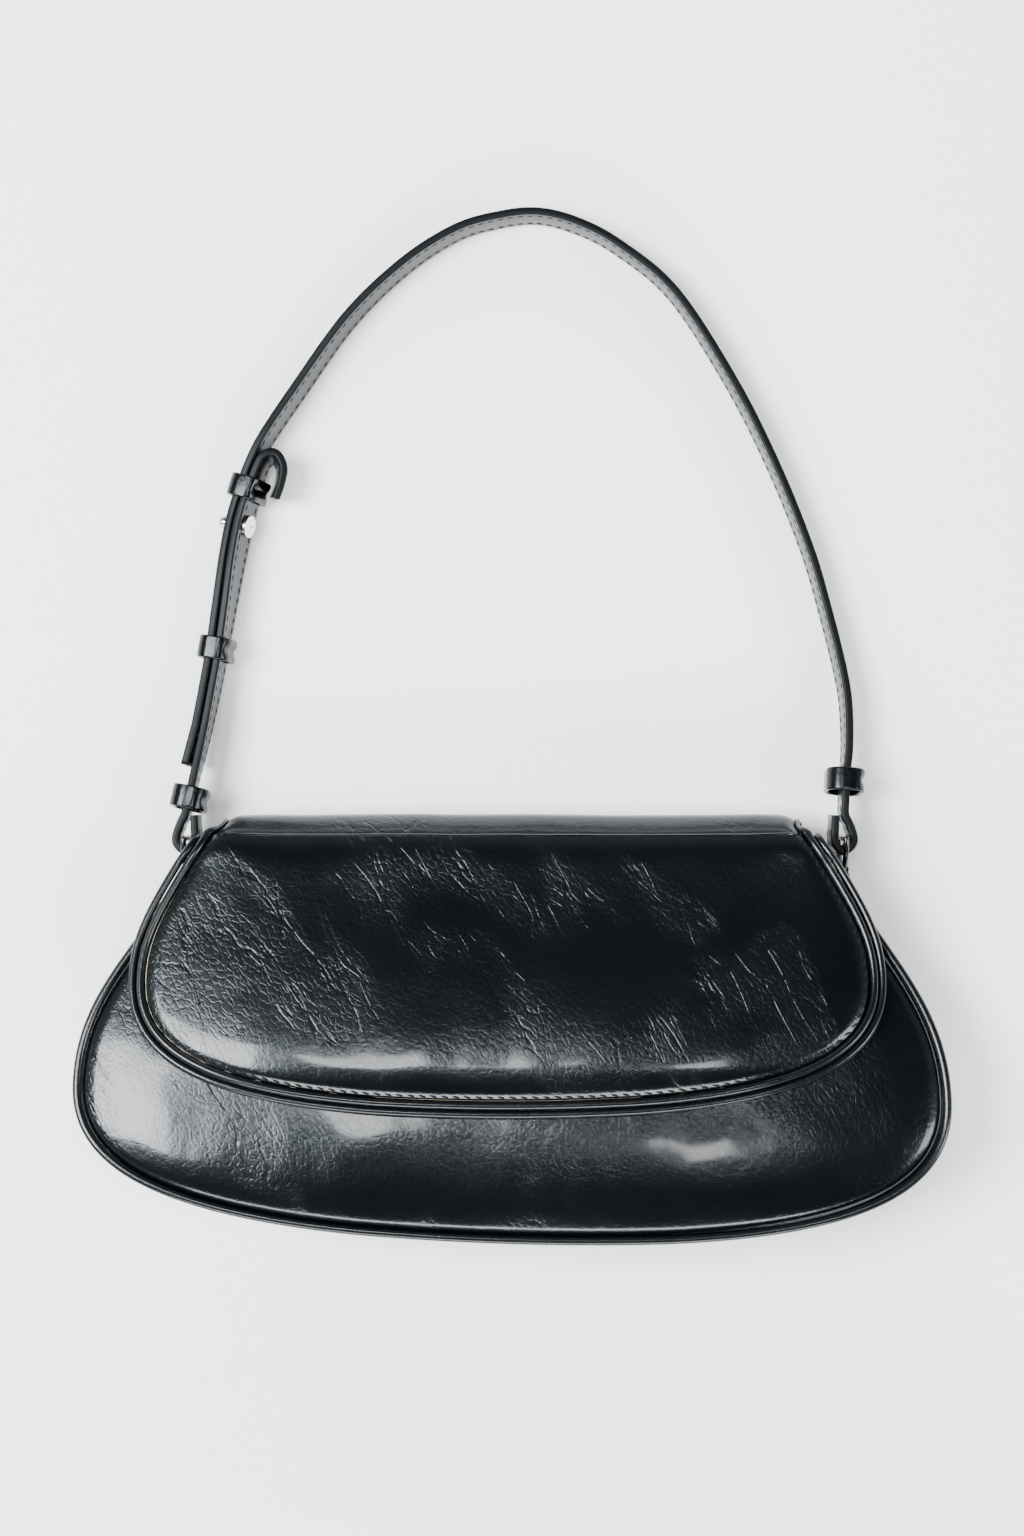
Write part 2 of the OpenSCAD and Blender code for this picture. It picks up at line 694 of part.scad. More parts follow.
// Loose leather rings round the straps
module oval(half_t, half_w, r) {
  square([2 * (half_t - r), 2 * half_w], center = true);
  square([2 * half_t, 2 * (half_w - r)], center = true);
  for (a = [-1, 1]) for (b = [-1, 1])
    translate([a * (half_t - r), b * (half_w - r)]) circle(r = r, $fn = 32);
}
module keeper(place, off, half_t) {
  r = half_t - keeper_flat;
  color(leather_colour)
    on_strap(place)
      translate([off, 0, 0]) rotate([90, 0, 0])
        linear_extrude(keeper_len, center = true)
          difference() {
            oval(half_t + keeper_wall, keeper_half_w + keeper_wall, r + keeper_wall);
            oval(half_t, keeper_half_w, r);
          }
}
module lower_left_keeper() { keeper(left_keeper_place, 0, left_keeper_half_t); }
module middle_keeper() { keeper(middle_keeper_place, -ply / 2, ply + middle_keeper_room); }
module upper_keeper() { keeper(upper_keeper_place, -ply / 2, ply + upper_keeper_room); }
module right_keeper() { keeper(right_keeper_place, 0, right_keeper_half_t); }

module in_place() { translate([0, shift_y, 0]) children(); }
in_place() front_panel();
in_place() back_panel();
in_place() gusset();
in_place() front_piping();
in_place() back_piping();
in_place() mouth_binding();
in_place() top_roll();
in_place() front_lining();
in_place() back_lining();
in_place() gusset_lining();
in_place() slip_pocket();
in_place() back_board();
in_place() base_board();
in_place() flap_panel();
in_place() flap_board();
in_place() flap_lining();
in_place() flap_inner_bead();
in_place() flap_outer_bead();
in_place() snap_socket();
in_place() snap_socket_washer();
in_place() snap_post();
in_place() snap_post_washer();
in_place() left_tab();
in_place() right_tab();
in_place() left_ring();
in_place() right_ring();
in_place() long_strap();
in_place() short_strap();
in_place() stud_base();
in_place() stud_ball();
in_place() lower_left_keeper();
in_place() middle_keeper();
in_place() upper_keeper();
in_place() right_keeper();
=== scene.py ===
"""Looks of a black leather baguette bag lying on its back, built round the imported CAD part.

Lengths are millimetres in the bag's own frame (y from the bag's bottom edge) until `metres` turns
them into the row frame.
"""

from __future__ import annotations

import json
import logging
import math
from dataclasses import dataclass, field
from enum import Enum
from typing import Iterable, Sequence

import bmesh
import bpy
import numpy as np
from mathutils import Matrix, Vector, noise

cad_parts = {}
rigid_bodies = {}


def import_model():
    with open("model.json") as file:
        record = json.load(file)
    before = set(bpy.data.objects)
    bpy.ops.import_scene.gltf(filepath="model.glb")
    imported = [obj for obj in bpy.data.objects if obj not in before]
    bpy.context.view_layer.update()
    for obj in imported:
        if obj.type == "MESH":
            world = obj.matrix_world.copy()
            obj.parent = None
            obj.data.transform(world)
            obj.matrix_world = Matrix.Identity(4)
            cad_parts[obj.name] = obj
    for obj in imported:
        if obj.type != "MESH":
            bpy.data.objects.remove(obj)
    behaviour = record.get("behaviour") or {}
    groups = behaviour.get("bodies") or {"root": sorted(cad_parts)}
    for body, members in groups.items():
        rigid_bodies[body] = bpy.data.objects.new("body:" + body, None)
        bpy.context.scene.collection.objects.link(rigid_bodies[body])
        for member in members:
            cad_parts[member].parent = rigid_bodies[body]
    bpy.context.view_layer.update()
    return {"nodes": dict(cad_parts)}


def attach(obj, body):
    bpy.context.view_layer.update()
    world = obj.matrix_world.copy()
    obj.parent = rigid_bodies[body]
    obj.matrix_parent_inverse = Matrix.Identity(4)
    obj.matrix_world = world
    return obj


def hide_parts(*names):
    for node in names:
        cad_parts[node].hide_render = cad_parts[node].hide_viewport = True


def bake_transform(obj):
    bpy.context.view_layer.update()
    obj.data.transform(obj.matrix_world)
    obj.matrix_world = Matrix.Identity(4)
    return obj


LOG = logging.getLogger("bag")
Array = np.ndarray
Obj = bpy.types.Object
Material = bpy.types.Material
Out = bpy.types.NodeSocket
Tree = bpy.types.NodeTree
Triple = tuple[float, float, float]


class Body(str, Enum):
    """Moving bodies of the part."""

    BAG = "bag"
    FLAP = "flap"
    STRAP = "strap"


class Slot(str, Enum):
    """Material slots of the part's record."""

    LEATHER = "leather"
    EDGE = "edge_leather"
    STRAP = "strap_leather"
    LINING = "lining"


def smooth(value: Array) -> Array:
    """Smooth step from 0 to 1.

    Args:
        value: numbers, held between 0 and 1 first.

    Returns:
        The eased numbers.
    """
    held = np.clip(value, 0, 1)
    return held * held * (3 - 2 * held)


def unit_rows(rows: Array) -> Array:
    """Rows scaled to length 1."""
    return rows / np.maximum(np.linalg.norm(rows, axis=-1, keepdims=True), 1e-9)


@dataclass(frozen=True)
class Bezier:
    """A cubic curve in the plane."""

    points: tuple[tuple[float, float], ...]

    def at(self, t: Array) -> Array:
        """Points at parameters t."""
        p = np.array(self.points, float)
        t = np.asarray(t, float)[..., None]
        s = 1 - t
        return s**3 * p[0] + 3 * s * s * t * p[1] + 3 * s * t * t * p[2] + t**3 * p[3]

    def t_at_height(self, y: float) -> float:
        """Parameter of a rising curve at height y."""
        t = np.linspace(0, 1, 400)
        return float(np.interp(y, self.at(t)[:, 1], t))


@dataclass(frozen=True)
class BagForm:
    """Driving sizes of the bag, the same as in the part's source."""

    body_w: float = 300
    body_h: float = 145
    belly_h: float = 50
    depth_bottom: float = 50
    dome: float = 8
    lean: float = 4.5
    leather_t: float = 1.6
    lining_t: float = 0.8
    board_t: float = 1.0
    piping_d: float = 3.2
    front_top: float = 118
    flap_half: float = 129.6
    flap_belly_h: float = 88.5
    flap_low: float = 43
    flap_shift: float = 1.6
    roll_r: float = 16
    crease_angle: float = 48
    bead_d: float = 2.8
    strap_w: float = 12
    strap_t: float = 2.8
    strap_crest: float = 357
    loop_gap: float = 3.7
    flap_crown: float = 2.6
    flap_lift: float = 1.3
    seat: float = 0.2
    back_in: float = 2
    low_end: float = 0.82
    pad_t: float = 0.9
    pocket_w: float = 120
    pocket_h: float = 66
    pocket_y: float = 30
    keeper_wall: float = 1.3
    keeper_len: float = 8
    keeper_slack: float = 1.15
    keeper_flat: float = 1.2
    ply_gap: float = 0.4
    ring_in: float = 35.2
    ring_down: float = 8.5
    ring_shift: float = 1
    ring_r: float = 11.3
    ring_wire: float = 2.0
    ring_z: float = 15
    tab_w: float = 5
    tab_t: float = 0.8
    tab_half_t: float = 1.2
    tab_from: float = 12
    tab_to: float = 20
    sheet_in: float = 5.3
    pocket_bulge: float = 1.6
    pocket_seam: float = 2.5
    crease_from: Triple = (0, 141.6, 26.4)
    crease_to: Triple = (0, 137.4, 29.8)

    @property
    def half_w(self) -> float:
        """Half width over the piping."""
        return self.body_w / 2

    @property
    def shift_y(self) -> float:
        """From the bag's own frame to the row frame."""
        return -(self.strap_crest + 1.4) / 2

    @property
    def roll_y(self) -> float:
        """Height of the roll's axis."""
        return self.body_h - self.roll_r

    @property
    def roll_z(self) -> float:
        """Distance of the roll's axis from the ground."""
        return self.roll_r + self.seat

    @property
    def flap_t(self) -> float:
        """Thickness of the flap's layers."""
        return self.leather_t + self.board_t + self.lining_t + 2 * self.seat

    @property
    def depth_top(self) -> float:
        """Height of the front rim at the roll's axis."""
        return self.roll_z + self.roll_r - self.flap_t - self.flap_lift

    @property
    def top_half(self) -> float:
        """Half width of the roll."""
        return self.half_w - 43

    @property
    def ring_y(self) -> float:
        """Height of the rings' bars."""
        return self.body_h - self.ring_down

    @property
    def side_x(self) -> float:
        """From the middle to a ring's bar."""
        return self.half_w - self.ring_in

    @property
    def ply(self) -> float:
        """From one strap's middle to the other's, along the run."""
        return self.strap_t + self.ply_gap

    @property
    def body_curves(self) -> tuple[Bezier, Bezier]:
        """Lower and upper curve of the body's side."""
        w, b = self.half_w, self.belly_h
        low = Bezier(((w, b), (w, b - 0.666 * b), (0.733 * w, 0), (0, 0)))
        up = Bezier(((w, b), (w, b + 40), (w - 33.3, self.body_h - 39.3), (self.top_half, self.body_h)))
        return low, up

    @property
    def flap_curves(self) -> tuple[Bezier, Bezier]:
        """Lower and upper curve of the flap's side."""
        w, b = self.flap_half, self.flap_belly_h
        low = Bezier(((w, b), (w, b - 32), (0.7 * w, self.flap_low), (0, self.flap_low)))
        up = Bezier(((w, b), (w, b + 18), (w - 7.8, b + 28), (self.top_half - 1.2, self.body_h - 1)))
        return low, up

    def side(self, curves: tuple[Bezier, Bezier], top_y: float, low_n: int = 44, up_n: int = 36) -> Array:
        """Points up one side, from the flat bottom to a height."""
        low, up = curves
        below = low.at(self.low_end * (1 - np.arange(low_n) / low_n))
        above = up.at(up.t_at_height(top_y) * np.arange(up_n + 1) / up_n)
        return np.vstack([below, above])

    @staticmethod
    def drawn_in(line: Array, distance: float) -> Array:
        """A side line drawn in by a distance, square to itself."""
        along = np.gradient(line, axis=0)
        along = unit_rows(along)
        return line + distance * np.stack([-along[:, 1], along[:, 0]], axis=1)

    def body_line(self, top_y: float, inset: float) -> Array:
        """Side of the body up to a height, drawn in."""
        return self.drawn_in(self.side(self.body_curves, top_y), inset)

    @staticmethod
    def bow(line: Array) -> float:
        """How far the bottom bows below the ends of the sides."""
        return float((line[4][1] - line[0][1]) * 0.9)

    def rows(self, line: Array, across: int = 150) -> Array:
        """Rows across a panel: (row, column, (x, y))."""
        u = np.linspace(-1, 1, across + 1)
        rows = np.stack([np.stack([u * p[0], np.full_like(u, p[1])], axis=1) for p in line])
        bow = self.bow(line)
        fade = np.clip(1 - np.arange(len(line)) / 14, 0, 1) ** 1.5
        rows[:, :, 1] -= (1 - u * u)[None, :] * bow * fade[:, None]
        return rows

    def around(self, line: Array, bottom_n: int = 40) -> Array:
        """One line down the right side, over the bottom and up the left side."""
        u = np.linspace(1, -1, bottom_n + 2)[1:-1]
        bottom = np.stack([u * line[0][0], line[0][1] - (1 - u * u) * self.bow(line)], axis=1)
        left = line * np.array([-1, 1])
        return np.vstack([line[::-1], bottom, left])

    def leaned(self, xy: Array) -> Array:
        """The body's slight lean: its right bottom corner hangs lower."""
        out = np.array(xy, float)
        share = np.clip(1 - xy[..., 1] / self.body_h, 0, 1)
        out[..., 1] = xy[..., 1] - self.lean * xy[..., 0] / self.half_w * share
        return out

    def rim_z(self, y: Array) -> Array:
        """Height of the front rim."""
        return self.depth_bottom + (self.depth_top - self.depth_bottom) * y / self.roll_y

    def body_half_at(self, y: Array) -> Array:
        """Half width of the body at heights y."""
        line = self.side(self.body_curves, self.body_h)
        return np.interp(y, line[:, 1], line[:, 0])

    def skin_z(self, x: Array, y: Array) -> Array:
        """Height of the front panel's outer face."""
        held = np.clip(y, 0, self.roll_y)
        u = np.minimum(1, np.abs(x) / self.body_half_at(held))
        rise = np.sin(np.radians(90 * np.clip(held / 38, 0, 1))) ** 0.8
        fall = 1 - smooth((held - 60) / (self.roll_y - 60))
        return self.rim_z(held) + self.dome * (1 - u**3) * rise * fall

    def crown(self, x: Array, y: Array) -> Array:
        """How far the padded flap stands off the front panel."""
        across = 1 - np.minimum(1, np.abs(x) / self.flap_half) ** 4
        fall = 1 - smooth((y - self.flap_belly_h) / (self.roll_y - self.flap_belly_h))
        return self.flap_crown * across * smooth((y - self.flap_low) / 18) * fall

    @property
    def crease_v(self) -> float:
        """Unrolled height of the crease."""
        return self.roll_y + self.roll_r * math.radians(90 - self.crease_angle)

    @property
    def roll_end_v(self) -> float:
        """Unrolled height of the roll's end on the back."""
        return self.roll_y + self.roll_r * math.radians(90 + 88)

    def flap_line(self) -> Array:
        """Side of the flap's sheet, unrolled: it runs on over the roll to the back."""
        crease_y = self.roll_y + self.roll_r * math.cos(math.radians(self.crease_angle))
        line = self.side(self.flap_curves, crease_y)
        rise = np.clip((line[:, 1] - self.roll_y) / self.roll_r, 0, 1)
        unrolled = self.roll_y + self.roll_r * np.arcsin(rise)
        line[:, 1] = np.where(line[:, 1] > self.roll_y, unrolled, line[:, 1])
        v = np.linspace(self.crease_v, self.roll_end_v, 40)[1:]
        narrow = smooth((v - self.crease_v) / 7)
        x = line[-1, 0] + (self.top_half - 2.6 - line[-1, 0]) * narrow
        return np.vstack([line, np.column_stack([x, v])])

    def flap_points(self, xv: Array, down: Array | float) -> Array:
        """Points of the flap's sheet, from unrolled ones, at a depth below its outer face."""
        points = self.flap_raw(xv, down)
        line = np.arange(60, self.roll_end_v, 0.5)
        middle = self.flap_raw(np.column_stack([np.zeros_like(line), line]), 0)[:, 1:]
        weights = np.exp(-((np.arange(-50, 51) / 20) ** 2))
        padded = np.pad(middle, ((50, 50), (0, 0)), mode="reflect", reflect_type="odd")
        eased = np.column_stack([np.convolve(padded[:, k], weights / weights.sum(), "valid") for k in (0, 1)])
        share = smooth((line - 86) / 20) * (1 - smooth((line - self.crease_v - 2) / 10))
        inwards = smooth((108 - np.abs(xv[..., 0])) / 28)
        for k in (0, 1):
            points[..., k + 1] += inwards * np.interp(xv[..., 1], line, (eased - middle)[:, k] * share)
        return points

    def flap_raw(self, xv: Array, down: Array | float) -> Array:
        """The sheet's points before it is eased into the roll."""
        x, v = xv[..., 0], xv[..., 1]
        x = x - self.flap_shift * (1 - smooth((v - self.crease_v) / 12))
        angle = math.pi / 2 - (v - self.roll_y) / self.roll_r
        r = self.roll_r - down
        on_roll = np.stack([x, self.roll_y + r * np.cos(angle), self.roll_z + r * np.sin(angle)], -1)
        z = self.skin_z(x, v) + self.flap_lift + self.flap_t + self.crown(x, v) - down
        flat = np.stack([x, v, z], -1)
        return np.where((v > self.roll_y)[..., None], on_roll, flat)


def metres(form: BagForm, points: Array) -> Array:
    """Bag-frame millimetres to row-frame metres."""
    return (np.asarray(points, float) + np.array([0, form.shift_y, 0])) / 1000


def distance_to_line(points: Array, line: Array) -> Array:
    """Distance of points to a polyline, in the plane."""
    flat_points = points.reshape(-1, 2)
    a, b = line[:-1], line[1:]
    ab = b - a
    best = np.full(len(flat_points), 1e9)
    for start, step in zip(a, ab):
        t = np.clip(((flat_points - start) @ step) / max(step @ step, 1e-9), 0, 1)
        near = start + t[:, None] * step
        best = np.minimum(best, np.linalg.norm(flat_points - near, axis=1))
    return best.reshape(points.shape[:-1])


def undulation(points: Array, wave: float, depth: float, seed: float) -> Array:
    """Soft unevenness of hand-worked leather, as a height for each point."""
    flat_points = points.reshape(-1, points.shape[-1])
    values = [noise.noise(Vector((p[0] / wave, p[1] / wave, seed))) for p in flat_points]
    return depth * np.array(values).reshape(points.shape[:-1])


def new_object(name: str, points: Array, faces: Iterable[Sequence[int]], smooth_faces: bool = True) -> Obj:
    """A mesh object from points in metres, with outward faces."""
    mesh = bpy.data.meshes.new(name)
    mesh.from_pydata([tuple(p) for p in points], [], [tuple(f) for f in faces])
    work = bmesh.new()
    work.from_mesh(mesh)
    bmesh.ops.recalc_face_normals(work, faces=work.faces)
    work.to_mesh(mesh)
    work.free()
    for polygon in mesh.polygons:
        polygon.use_smooth = smooth_faces
    obj = bpy.data.objects.new(name, mesh)
    bpy.context.scene.collection.objects.link(obj)
    return obj


def shell_faces(rows: int, cols: int) -> list[tuple[int, int, int, int]]:
    """Faces of a closed shell between an upper and a lower grid."""
    n = rows * cols
    faces = []
    for i in range(rows - 1):
        for j in range(cols - 1):
            a = i * cols + j
            faces.append((a, a + cols, a + cols + 1, a + 1))
            faces.append((n + a, n + a + 1, n + a + cols + 1, n + a + cols))
    for i in range(rows - 1):
        a, b = i * cols, (i + 1) * cols
        faces.append((b, a, n + a, n + b))
        faces.append((a + cols - 1, b + cols - 1, n + b + cols - 1, n + a + cols - 1))
    for j in range(cols - 1):
        top = (rows - 1) * cols + j
        faces.append((j, j + 1, n + j + 1, n + j))
        faces.append((top + 1, top, n + top, n + top + 1))
    return faces


def slab(form: BagForm, name: str, top: Array, low: Array) -> Obj:
    """A closed sheet between two grids of points."""
    points = np.vstack([top.reshape(-1, 3), low.reshape(-1, 3)])
    return new_object(name, metres(form, points), shell_faces(*top.shape[:2]))


def tube_faces(rings: int, sides: int) -> list[tuple[int, ...]]:
    """Faces of a closed tube through rings."""
    faces: list[tuple[int, ...]] = []
    for i in range(rings - 1):
        for j in range(sides):
            a, b = i * sides + j, i * sides + (j + 1) % sides
            faces.append((a, b, b + sides, a + sides))
    faces.append(tuple(range(sides))[::-1])
    faces.append(tuple((rings - 1) * sides + j for j in range(sides)))
    return faces


def path_frames(path: Array, lean: Array | None = None) -> tuple[Array, Array, Array]:
    """Thickness, length and width directions along a path, as the strap has them."""
    along = unit_rows(np.gradient(path, axis=0))
    side = unit_rows(np.cross(along, np.array([0, 0, 1.0])))
    up = np.cross(side, along)
    if lean is None:
        return side, along, up
    c, s = np.cos(np.radians(lean))[:, None], np.sin(np.radians(lean))[:, None]
    return c * side - s * up, along, c * up + s * side


def sweep(form: BagForm, name: str, path: Array, section: Array, lean: Array | None = None,
          fade: Array | None = None) -> Obj:
    """A section of (thickness, width) points swept along a path."""
    side, _, up = path_frames(path, lean)
    scale = np.ones(len(path)) if fade is None else fade
    rings = (
        path[:, None, :]
        + section[None, :, 0, None] * side[:, None, :] * scale[:, None, None]
        + section[None, :, 1, None] * up[:, None, :] * scale[:, None, None]
    )
    return new_object(name, metres(form, rings.reshape(-1, 3)), tube_faces(len(path), len(section)))


def round_section(d: float, sides: int = 16) -> Array:
    """A circle as a section."""
    a = np.linspace(0, 2 * math.pi, sides, endpoint=False)
    return np.stack([d / 2 * np.cos(a), d / 2 * np.sin(a)], axis=1)


def rounded_box(w: float, h: float, r: float, steps: int = 5) -> Array:
    """A rectangle with rounded corners as a section."""
    points = []
    for cx, cy, start in ((1, 1, 0), (-1, 1, 90), (-1, -1, 180), (1, -1, 270)):
        for k in range(steps + 1):
            a = math.radians(start + 90 * k / steps)
            points.append((cx * (w / 2 - r) + r * math.cos(a), cy * (h / 2 - r) + r * math.sin(a)))
    return np.array(points)


def add_node(tree: Tree, kind: str, inputs: dict | None = None, **settings: object) -> bpy.types.Node:
    """A shader or geometry node.

    Args:
        tree: tree that it joins.
        kind: type of the node.
        inputs: numbers to set on its inputs, or sockets to link to them.
        settings: properties, set before the inputs.

    Returns:
        The node.
    """
    node = tree.nodes.new(kind)
    for name, value in settings.items():
        setattr(node, name, value)
    for name, value in (inputs or {}).items():
        value = value.socket if isinstance(value, Sock) else value
        if isinstance(value, Out):
            tree.links.new(value, node.inputs[name])
        else:
            node.inputs[name].default_value = value
    return node


class Sock:
    """A shader socket that takes part in sums and products."""

    def __init__(self, tree: Tree, socket: Out) -> None:
        self.tree = tree
        self.socket = socket

    def _math(self, operation: str, other: Sock | float = 0.0, swap: bool = False) -> Sock:
        pair = (other, self) if swap else (self, other)
        node = add_node(self.tree, "ShaderNodeMath", dict(enumerate(pair)), operation=operation)
        return Sock(self.tree, node.outputs[0])

    def __add__(self, other: Sock | float) -> Sock:
        return self._math("ADD", other)

    __radd__ = __add__

    def __sub__(self, other: Sock | float) -> Sock:
        return self._math("SUBTRACT", other)

    def __rsub__(self, other: float) -> Sock:
        return self._math("SUBTRACT", other, swap=True)

    def __mul__(self, other: Sock | float) -> Sock:
        return self._math("MULTIPLY", other)

    __rmul__ = __mul__

    def size(self) -> Sock:
        """Without its sign."""
        return self._math("ABSOLUTE")

    def above(self, low: float, high: float) -> Sock:
        """Smoothly from 0 at low to 1 at high."""
        inputs = {"From Min": low, "From Max": high, "Value": self}
        node = add_node(self.tree, "ShaderNodeMapRange", inputs, interpolation_type="SMOOTHSTEP")
        return Sock(self.tree, node.outputs[0])


class Shader:
    """A material under construction, with object coordinates in metres."""

    def __init__(self, name: str, **constants: float) -> None:
        self.material = bpy.data.materials.new(name)
        self.material.use_nodes = True
        self.tree = self.material.node_tree
        self.bsdf = self.tree.nodes["Principled BSDF"]
        self.place = add_node(self.tree, "ShaderNodeTexCoord").outputs["Object"]
        for label, value in constants.items():
            self.bsdf.inputs[label.replace("_", " ")].default_value = value

    def moved(self, scale: Sequence[float] = (1, 1, 1), turn: float = 0.0) -> Out:
        """Object coordinates, turned about Z and stretched."""
        turned = add_node(self.tree, "ShaderNodeMapping", {"Rotation": (0, 0, turn), "Vector": self.place})
        inputs = {"Scale": scale, "Vector": turned.outputs[0]}
        return add_node(self.tree, "ShaderNodeMapping", inputs).outputs[0]

    def noise(self, size_mm: float, detail: float = 2, rough: float = 0.5, warp: float = 0.0,
              place: Out | None = None) -> Sock:
        """Noise whose features are about size_mm across."""
        node = add_node(self.tree, "ShaderNodeTexNoise", {
            "Scale": 1000 / size_mm, "Detail": detail, "Roughness": rough, "Distortion": warp,
            "Vector": place or self.place,
        })
        return Sock(self.tree, node.outputs["Fac"])

    def cells(self, size_mm: float, place: Out, bend: float) -> Sock:
        """Distance to the borders of bent cells about size_mm across."""
        inputs = {"Scale": 1000 / size_mm, "Vector": self.bent(place, size_mm, bend)}
        node = add_node(self.tree, "ShaderNodeTexVoronoi", inputs, feature="DISTANCE_TO_EDGE")
        return Sock(self.tree, node.outputs["Distance"])

    def ridge(self, size_mm: float, width: float, place: Out) -> Sock:
        """Thin winding lines: 1 on a line and 0 beside it."""
        return 1 - (self.noise(size_mm, 2, 0.5, 0.3, place) - 0.5).size().above(0.0, width)

    def bent(self, source: Out, size_mm: float, amount: float) -> Out:
        """Coordinates pushed about by noise."""
        inputs = {"Scale": 700 / size_mm, "Detail": 2, "Vector": source}
        wave = add_node(self.tree, "ShaderNodeTexNoise", inputs)
        inputs = {0: wave.outputs["Color"], 1: (amount * size_mm / 1000,) * 3, 2: source}
        return add_node(self.tree, "ShaderNodeVectorMath", inputs, operation="MULTIPLY_ADD").outputs[0]

    def colour(self, low: Triple, high: Triple, share: Sock) -> None:
        """Base colour mixed between two colours."""
        inputs = {"A": (*low, 1), "B": (*high, 1), "Factor": share}
        node = add_node(self.tree, "ShaderNodeMix", inputs, data_type="RGBA")
        self.tree.links.new(node.outputs["Result"], self.bsdf.inputs["Base Color"])

    def rough(self, value: Sock) -> None:
        """Varying roughness."""
        self.tree.links.new(value.socket, self.bsdf.inputs["Roughness"])

    def bumps(self, *layers: tuple[Sock, float]) -> None:
        """Bumps one over another: (height, depth in millimetres)."""
        below: dict = {}
        for height, depth in layers:
            inputs = {"Strength": 1.0, "Distance": depth / 1000, "Height": height, **below}
            below = {"Normal": add_node(self.tree, "ShaderNodeBump", inputs).outputs[0]}
        self.tree.links.new(below["Normal"], self.bsdf.inputs["Normal"])


@dataclass(frozen=True)
class Leather:
    """Glossy crackled leather."""

    name: str
    dark: Triple = (0.0006, 0.0008, 0.0011)
    light: Triple = (0.0018, 0.0022, 0.0027)
    gloss: float = 0.19
    grain: float = 0.028
    crackle: float = 0.13
    coat: float = 0.25
    shine: float = 0.3

    def build(self) -> Material:
        """Makes the material."""
        s = Shader(self.name, Specular_IOR_Level=self.shine, Specular_Tint=(0.84, 0.94, 1.0, 1),
                   Coat_Weight=self.coat, Coat_Roughness=0.1)
        steep = s.moved((0.15, 1.0, 0.6), math.radians(60))
        diagonal = s.moved((0.2, 1.0, 0.6), math.radians(47))
        slight = s.moved((0.6, 1.0, 0.8), math.radians(55))
        clouds = s.noise(70, 3, 0.55)
        patches = s.noise(42, 2, 0.6, 0.6, slight).above(0.5, 0.62)
        broken = s.noise(5, 2, 0.6).above(0.4, 0.55)
        others = s.noise(7, 2, 0.5, place=slight).above(0.52, 0.62)
        wrinkles = s.cells(2.0, slight, bend=1.1).above(0.0, 0.18)
        creases = (s.ridge(9, 0.028, steep) * broken + s.ridge(7, 0.03, diagonal) * others * 0.7) * patches
        s.colour(self.dark, self.light, clouds)
        s.rough(clouds * 0.08 + patches * 0.05 + self.gloss)
        s.bumps(
            (s.noise(13, 2, 0.5), 0.16),
            (s.noise(3.4, 3, 0.6), self.grain * 2.6),
            (s.noise(1.2, 2, 0.6), self.grain),
            (wrinkles * (patches * 0.6 + 0.4), self.grain * 1.6),
            (1 - creases, self.crackle),
        )
        return s.material


@dataclass(frozen=True)
class Metal:
    """Polished nickel with faint scratches."""

    name: str = "nickel"
    low: Triple = (0.62, 0.61, 0.59)
    high: Triple = (0.8, 0.79, 0.77)

    def build(self) -> Material:
        """Makes the material."""
        s = Shader(self.name, Metallic=1.0)
        streaks = s.noise(0.5, 3, 0.6, place=s.moved((0.2, 1, 1)))
        s.colour(self.low, self.high, s.noise(4))
        s.rough(streaks * 0.14 + 0.14)
        s.bumps((streaks, 0.004))
        return s.material


@dataclass(frozen=True)
class Cloth:
    """Woven lining or pressed board."""

    name: str
    low: Triple
    high: Triple
    thread_mm: float = 0.6

    def build(self) -> Material:
        """Makes the material."""
        s = Shader(self.name, Specular_IOR_Level=0.2)
        warp = s.noise(self.thread_mm, 1, place=s.moved((6, 1, 1)))
        weft = s.noise(self.thread_mm, 1, place=s.moved((1, 6, 1)))
        weave = (warp + weft) * 0.5
        s.colour(self.low, self.high, weave)
        s.rough(weave * 0.1 + 0.78)
        s.bumps((weave, 0.08))
        return s.material


@dataclass(frozen=True)
class Floor:
    """Pale seamless ground."""

    name: str = "ground"

    def build(self) -> Material:
        """Makes the material."""
        s = Shader(self.name)
        s.colour((0.86, 0.872, 0.88), (0.88, 0.889, 0.895), s.noise(260, 2))
        s.rough(s.noise(30) * 0.05 + 0.85)
        return s.material


def made(recipe: Leather | Metal | Cloth | Floor) -> Material:
    """A field that holds a recipe's material."""
    return field(default_factory=recipe.build)


@dataclass
class Finishes:
    """Every material of the scene."""

    leather: Material = made(Leather("leather"))
    edge: Material = made(Leather("edge_leather", gloss=0.22, grain=0.014, crackle=0.03))
    strap: Material = made(Leather(
        "strap_leather", (0.0014, 0.0017, 0.002), (0.003, 0.0035, 0.004), 0.26, 0.012, 0.02, 0.2
    ))
    keeper: Material = made(Leather(
        "keeper_leather", gloss=0.16, grain=0.02, crackle=0.05, coat=0.1, shine=0.2
    ))
    paint: Material = made(Leather(
        "edge_paint", (0.001, 0.0012, 0.0015), (0.002, 0.0024, 0.003), 0.4, 0.02, 0.0, 0.0, 0.16
    ))
    thread: Material = made(Cloth("thread", (0.0015, 0.0017, 0.002), (0.006, 0.0065, 0.0075), 0.25))
    lining: Material = made(Cloth("lining", (0.018, 0.017, 0.016), (0.05, 0.046, 0.042)))
    board: Material = made(Cloth("board", (0.2, 0.18, 0.15), (0.36, 0.32, 0.27), 1.4))
    nickel: Material = made(Metal())
    # Painted reflection: the rings' metal colour is painted near black to stand in for the dark surroundings
    # a nickel ring mirrors.
    painted_reflection_dark_metal: Material = made(Metal("painted_reflection_dark_metal", (0.03, 0.031, 0.034), (0.06, 0.061, 0.065)))
    ground: Material = made(Floor())


